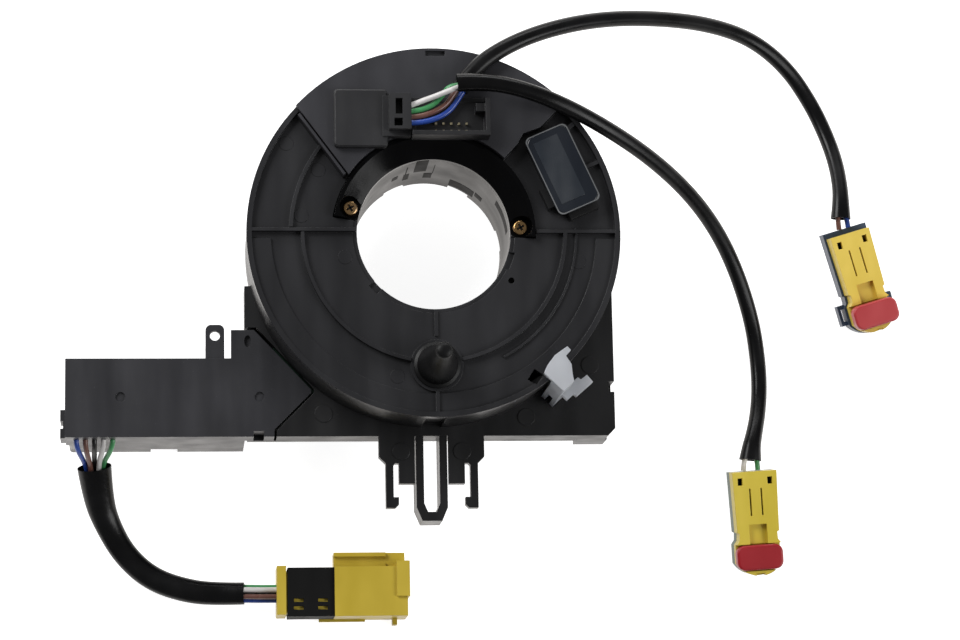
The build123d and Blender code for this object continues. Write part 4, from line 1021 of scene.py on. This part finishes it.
@dataclass
class Leads:
    """The two leads of the rotor and the loom of the sensor box."""

    dresser: Dresser
    wire_width: float = 1.55
    loom_wire_width: float = 1.5
    loom_mouth: tuple[Pair, ...] = ((-55.4, -5.5), (-57.6, -5.5))
    plug_parts: tuple[str, ...] = ("front", "back", "lock", "contacts")

    def sleeves(self) -> list[Cord]:
        """Lay out the three sleeves."""
        oval = {"width": 4.7, "height": 4.0, "wall": 0.25, "lobes": 0.05, "slot": "sleeve_black"}
        mouth = [1.12, 1.05] + [1.0] * 11
        leads = (
            ("first", FIRST_LEAD, 179.3, mouth + [1.1, 1.3]),
            ("second", SECOND_LEAD, 177.5, mouth + [1.05, 1.2, 1.42]),
        )
        made = [
            Cord(f"{which}_sleeve", route, Body.ROTOR, length=length, radii=radii, far_end="plug",
                 end_pieces=[f"{which}_plug_{part}" for part in self.plug_parts], **oval)
            for which, route, length, radii in leads
        ]
        made.append(
            Cord("loom_sleeve", LOOM_ROUTE, Body.STATOR, "sleeve_black", 66.2, 9.0, 6.2,
                 radii=[1.10, 0.98, 0.84, 0.78, 0.78, 0.78, 0.74, 0.72], far_end="connector",
                 end_pieces=["loom_plug_body", "loom_plug_retainer"], stiffness="limp", wall=0.35)
        )
        return made

    def lead_wires(self) -> list[Cord]:
        """Lay out the four wires of the leads, crossed and spread as they leave the latch."""
        return [
            Cord(f"{wire.colour}_wire", wire.fan + twisted(wire.lead, wire.side)[1:-1] + wire.end,
                 Body.ROTOR, f"wire_{wire.colour}", wire.length, self.wire_width, self.wire_width)
            for wire in LEAD_WIRES
        ]

    def loom_wires(self) -> list[Cord]:
        """Lay out the five wires of the loom, from the box's mouth to the plug."""
        made = []
        for colour, x, (across, rise), length in LOOM_WIRES:
            entry = [(x, y, z) for y, z in self.loom_mouth]
            route = entry + beside(LOOM_ROUTE + LOOM_END, across, rise)
            made.append(
                Cord(f"loom_{colour}_wire", route, Body.STATOR, f"wire_{colour}", length,
                     self.loom_wire_width, self.loom_wire_width, stiffness="limp")
            )
        return made

    def skin(self, cord: Cord) -> DrawnTube:
        """Choose the skin of a sleeve or of a wire."""
        if cord.slot.startswith("wire_"):
            return SKINS[cord.slot.removeprefix("wire_")]
        return LOOM if cord.name == "loom_sleeve" else SLEEVE

    def build(self) -> None:
        """Make every sleeve and wire."""
        for cord in self.sleeves() + self.lead_wires() + self.loom_wires():
            cord.build(self.dresser.material(self.skin(cord)))
            log.info("%s: %.1f mm", cord.name, cord.length)


@dataclass
class Mouldings:
    """Softened copies of the mouldings, with the finish of their nodes."""

    dresser: Dresser

    def build(self) -> None:
        """Round the edges of every node that has a radius in the dressing list."""
        slots = {row["node"]: row["material_slot"] for row in frame["record"]["subparts"]}
        bodies = frame["record"]["behaviour"]["bodies"]
        for node, (finish, radius) in DRESSING.items():
            if not radius:
                continue
            body = next(Body(name) for name, members in bodies.items() if node in members)
            form = Form(softened_copy(node, radius))
            look = self.dresser.material(finish)
            piece = form.finish(f"{node}_moulding", look, body, slots[node], unit=1.0)
            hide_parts(node)
            log.info("%s: edges rounded by %.2f mm", node, radius)


@dataclass(frozen=True)
class WindowPlan:
    """Where the sight window lies and how big its pane, panel and rim are, in millimetres."""

    centre: Pair = (36.7, 17.6)
    turn: float = math.radians(24)
    pane: Pair = (13.1, 24.5)
    top: float = 25.2
    rim_w: float = 0.35
    rim_h: float = 0.06
    panel: Pair = (7.6, 19.4)
    panel_shift: Pair = (-0.9, 0.4)
    panel_h: float = 0.12
    panel_round: float = 0.05
    corner: float = 1.6
    corner_steps: int = 6


@dataclass
class Details:
    """Small forms that the model leaves to the looks, with their sizes in millimetres.

    A notch is given by the angles in degrees and the levels between which it lies on the bore's
    wall, and the fence by the two ends of the edge that it runs beside.
    """

    dresser: Dresser
    window: WindowPlan = field(default_factory=WindowPlan)
    mark_r: float = 2.1
    mark_h: float = 0.08
    floor_top: float = 19.6
    cross_long: float = 1.9
    cross_wide: float = 0.5
    cross_h: float = 0.12
    cross_round: float = 0.04
    cross_turns: Pair = (25.0, 115.0)
    head_depth: float = 0.4
    bore_r: float = 22.0
    notch_h: float = 0.05
    notch_slope: float = 0.1
    notch_step: float = 2.0
    notches: tuple[tuple[float, float, float, float], ...] = (
        (92.0, 101.5, 4.0, 17.2),
        (86.5, 93.0, -3.8, 1.9),
        (104.5, 109.0, -3.0, 4.0),
        (107.2, 108.0, 4.0, 12.4),
        (86.1, 86.7, 1.9, 12.0),
        (51.0, 72.0, -8.0, -1.4),
        (43.0, 50.0, -5.0, -0.8),
        (6.0, 31.0, 7.5, 12.5),
        (114.0, 119.0, 2.0, 6.0),
    )
    fence: tuple[Pair, Pair] = ((-37.7, 34.3), (-24.8, 16.7))
    fence_gap: float = 0.85
    fence_w: float = 0.8
    fence_top: float = 23.8
    fence_round: float = 0.08
    marks: tuple[Pair, ...] = (
        (-32.8, 18.4), (-37.8, 5.0), (-41.9, 26.1), (-49.2, -9.3),
        (-25.4, -7.0), (41.4, -8.3), (-11.0, -41.4),
    )

    def build(self) -> None:
        """Make every detail."""
        self.ejector_marks()
        self.paint_screw_recess_shade()
        self.window_panel()
        self.paint_notch_shade()
        self.plateau_fence()

    def finish(self, form: Form, name: str, look: Finish, slot: str = "black_plastic") -> None:
        """End a form as a piece on the rotor."""
        form.finish(name, self.dresser.material(look), Body.ROTOR, slot)

    def paint_notch_shade(self) -> None:
        """Make curved dark patches on the far bore wall, painted as the shade in its notches and seams.
        """
        front = self.bore_r - self.notch_h
        for k, (start, end, low, high) in enumerate(self.notches):
            section = (
                (self.bore_r, low),
                (front, low + self.notch_slope),
                (front, high - self.notch_slope),
                (self.bore_r, high),
            )
            form = Form()
            steps = max(2, round((end - start) / self.notch_step) + 1)
            rows = []
            for step in range(steps):
                angle = math.radians(start + (end - start) * step / (steps - 1))
                reach = Vector((math.cos(angle), math.sin(angle), 0.0))
                rows.append(
                    [form.mesh.verts.new(reach * radius + Vector((0, 0, z))) for radius, z in section]
                )
            form.skin(rows)
            form.mesh.faces.new(rows[0][::-1])
            form.mesh.faces.new(rows[-1])
            # Painted shade: these dark matt sheets stand in for the shade in the wall's notches and
            # seams.
            self.finish(form, f"painted_notch_shade_{k}", SOCKET)

    def plateau_fence(self) -> None:
        """Make the thin wall that runs beside the plateau's left edge."""
        start, end = (Vector(point) for point in self.fence)
        along = end - start
        out = Vector((along.y, -along.x)).normalized() * self.fence_gap
        middle = (start + end) / 2 + out
        height = self.fence_top - self.floor_top
        place = Matrix.Translation((middle.x, middle.y, self.floor_top + height / 2))
        place @= Matrix.Rotation(math.atan2(along.y, along.x), 4, "Z")
        form = Form()
        form.block((along.length, self.fence_w, height), place, self.fence_round)
        self.finish(form, "plateau_fence", PLATEAU)

    def ejector_marks(self) -> None:
        """Make the low round marks of the ejector pins on the rotor's floor."""
        for k, (x, y) in enumerate(self.marks):
            form = Form()
            form.disc(self.mark_r, self.mark_h, Matrix.Translation((x, y, self.floor_top)))
            self.finish(form, f"ejector_mark_{k}", PLATEAU)

    def paint_screw_recess_shade(self) -> None:
        """Make the dark cross in the head of each screw: dark blocks painted as the shade in its cross
        recess.
        """
        places = [vertex.co / MM for vertex in NODES["collar_screws"].data.vertices]
        top = max(place.z for place in places)
        size = (self.cross_long, self.cross_wide, self.cross_h)
        for side, name in ((-1, "left"), (1, "right")):
            head = [
                place for place in places if place.x * side > 0 and place.z > top - self.head_depth
            ]
            centre = sum(head, Vector()) / len(head)
            form = Form()
            for turn in self.cross_turns:
                place = Matrix.Translation((centre.x, centre.y, top))
                place @= Matrix.Rotation(math.radians(turn), 4, "Z")
                form.block(size, place, self.cross_round)
            # Painted shade: the dark cross stands in for the shade in the screw's recess.
            self.finish(form, f"screw_recess_shade_{name}", SOCKET, "brass_screw")

    def window_panel(self) -> None:
        """Make the inner panel of the sight window, and a thin pale ring around its pane as a painted
        highlight on the pane's edge.
        """
        plan = self.window
        place = Matrix.Translation((*plan.centre, plan.top)) @ Matrix.Rotation(plan.turn, 4, "Z")
        form = Form()
        shifted = place @ Matrix.Translation((*plan.panel_shift, 0.0))
        form.block((*plan.panel, plan.panel_h), shifted, plan.panel_round)
        self.finish(form, "window_panel", PANEL, "smoked_window")
        half_w, half_l = (size / 2 - plan.rim_w - plan.corner for size in plan.pane)
        outline = []
        for quarter, (x, y) in enumerate(((1, 1), (-1, 1), (-1, -1), (1, -1))):
            for step in range(plan.corner_steps + 1):
                angle = math.pi / 2 * (quarter + step / plan.corner_steps)
                across, along = plan.corner * math.cos(angle), plan.corner * math.sin(angle)
                outline.append((x * half_w + across, y * half_l + along))
        # A thin ring of paler plastic round the pane: a painted highlight on its edge.
        ring = Form()
        rows = []
        rim = ((0.0, 0.0), (0.0, plan.rim_h), (plan.rim_w, plan.rim_h), (plan.rim_w, 0.0))
        for grow, level in rim:
            row = []
            for x, y in outline:
                reach = Vector((x + math.copysign(grow, x), y + math.copysign(grow, y), level))
                row.append(ring.mesh.verts.new(place @ reach))
            rows.append(row)
        ring.skin(rows + rows[:1])
        self.finish(ring, "window_rim_painted_highlight", PAINTED_RIM_HIGHLIGHT, "smoked_window")


def main() -> None:
    """Build the studio, the finishes, the cords and the details, and note the sizes."""
    logging.basicConfig(level=logging.INFO, format="%(message)s")
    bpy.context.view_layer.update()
    bpy.context.scene.view_settings.view_transform = "Standard"
    Studio().build()
    dresser = Dresser(Workshop())
    dresser.dress_all()
    Mouldings(dresser).build()
    Leads(dresser).build()
    Details(dresser).build()


if __name__ == "__main__":
    main()
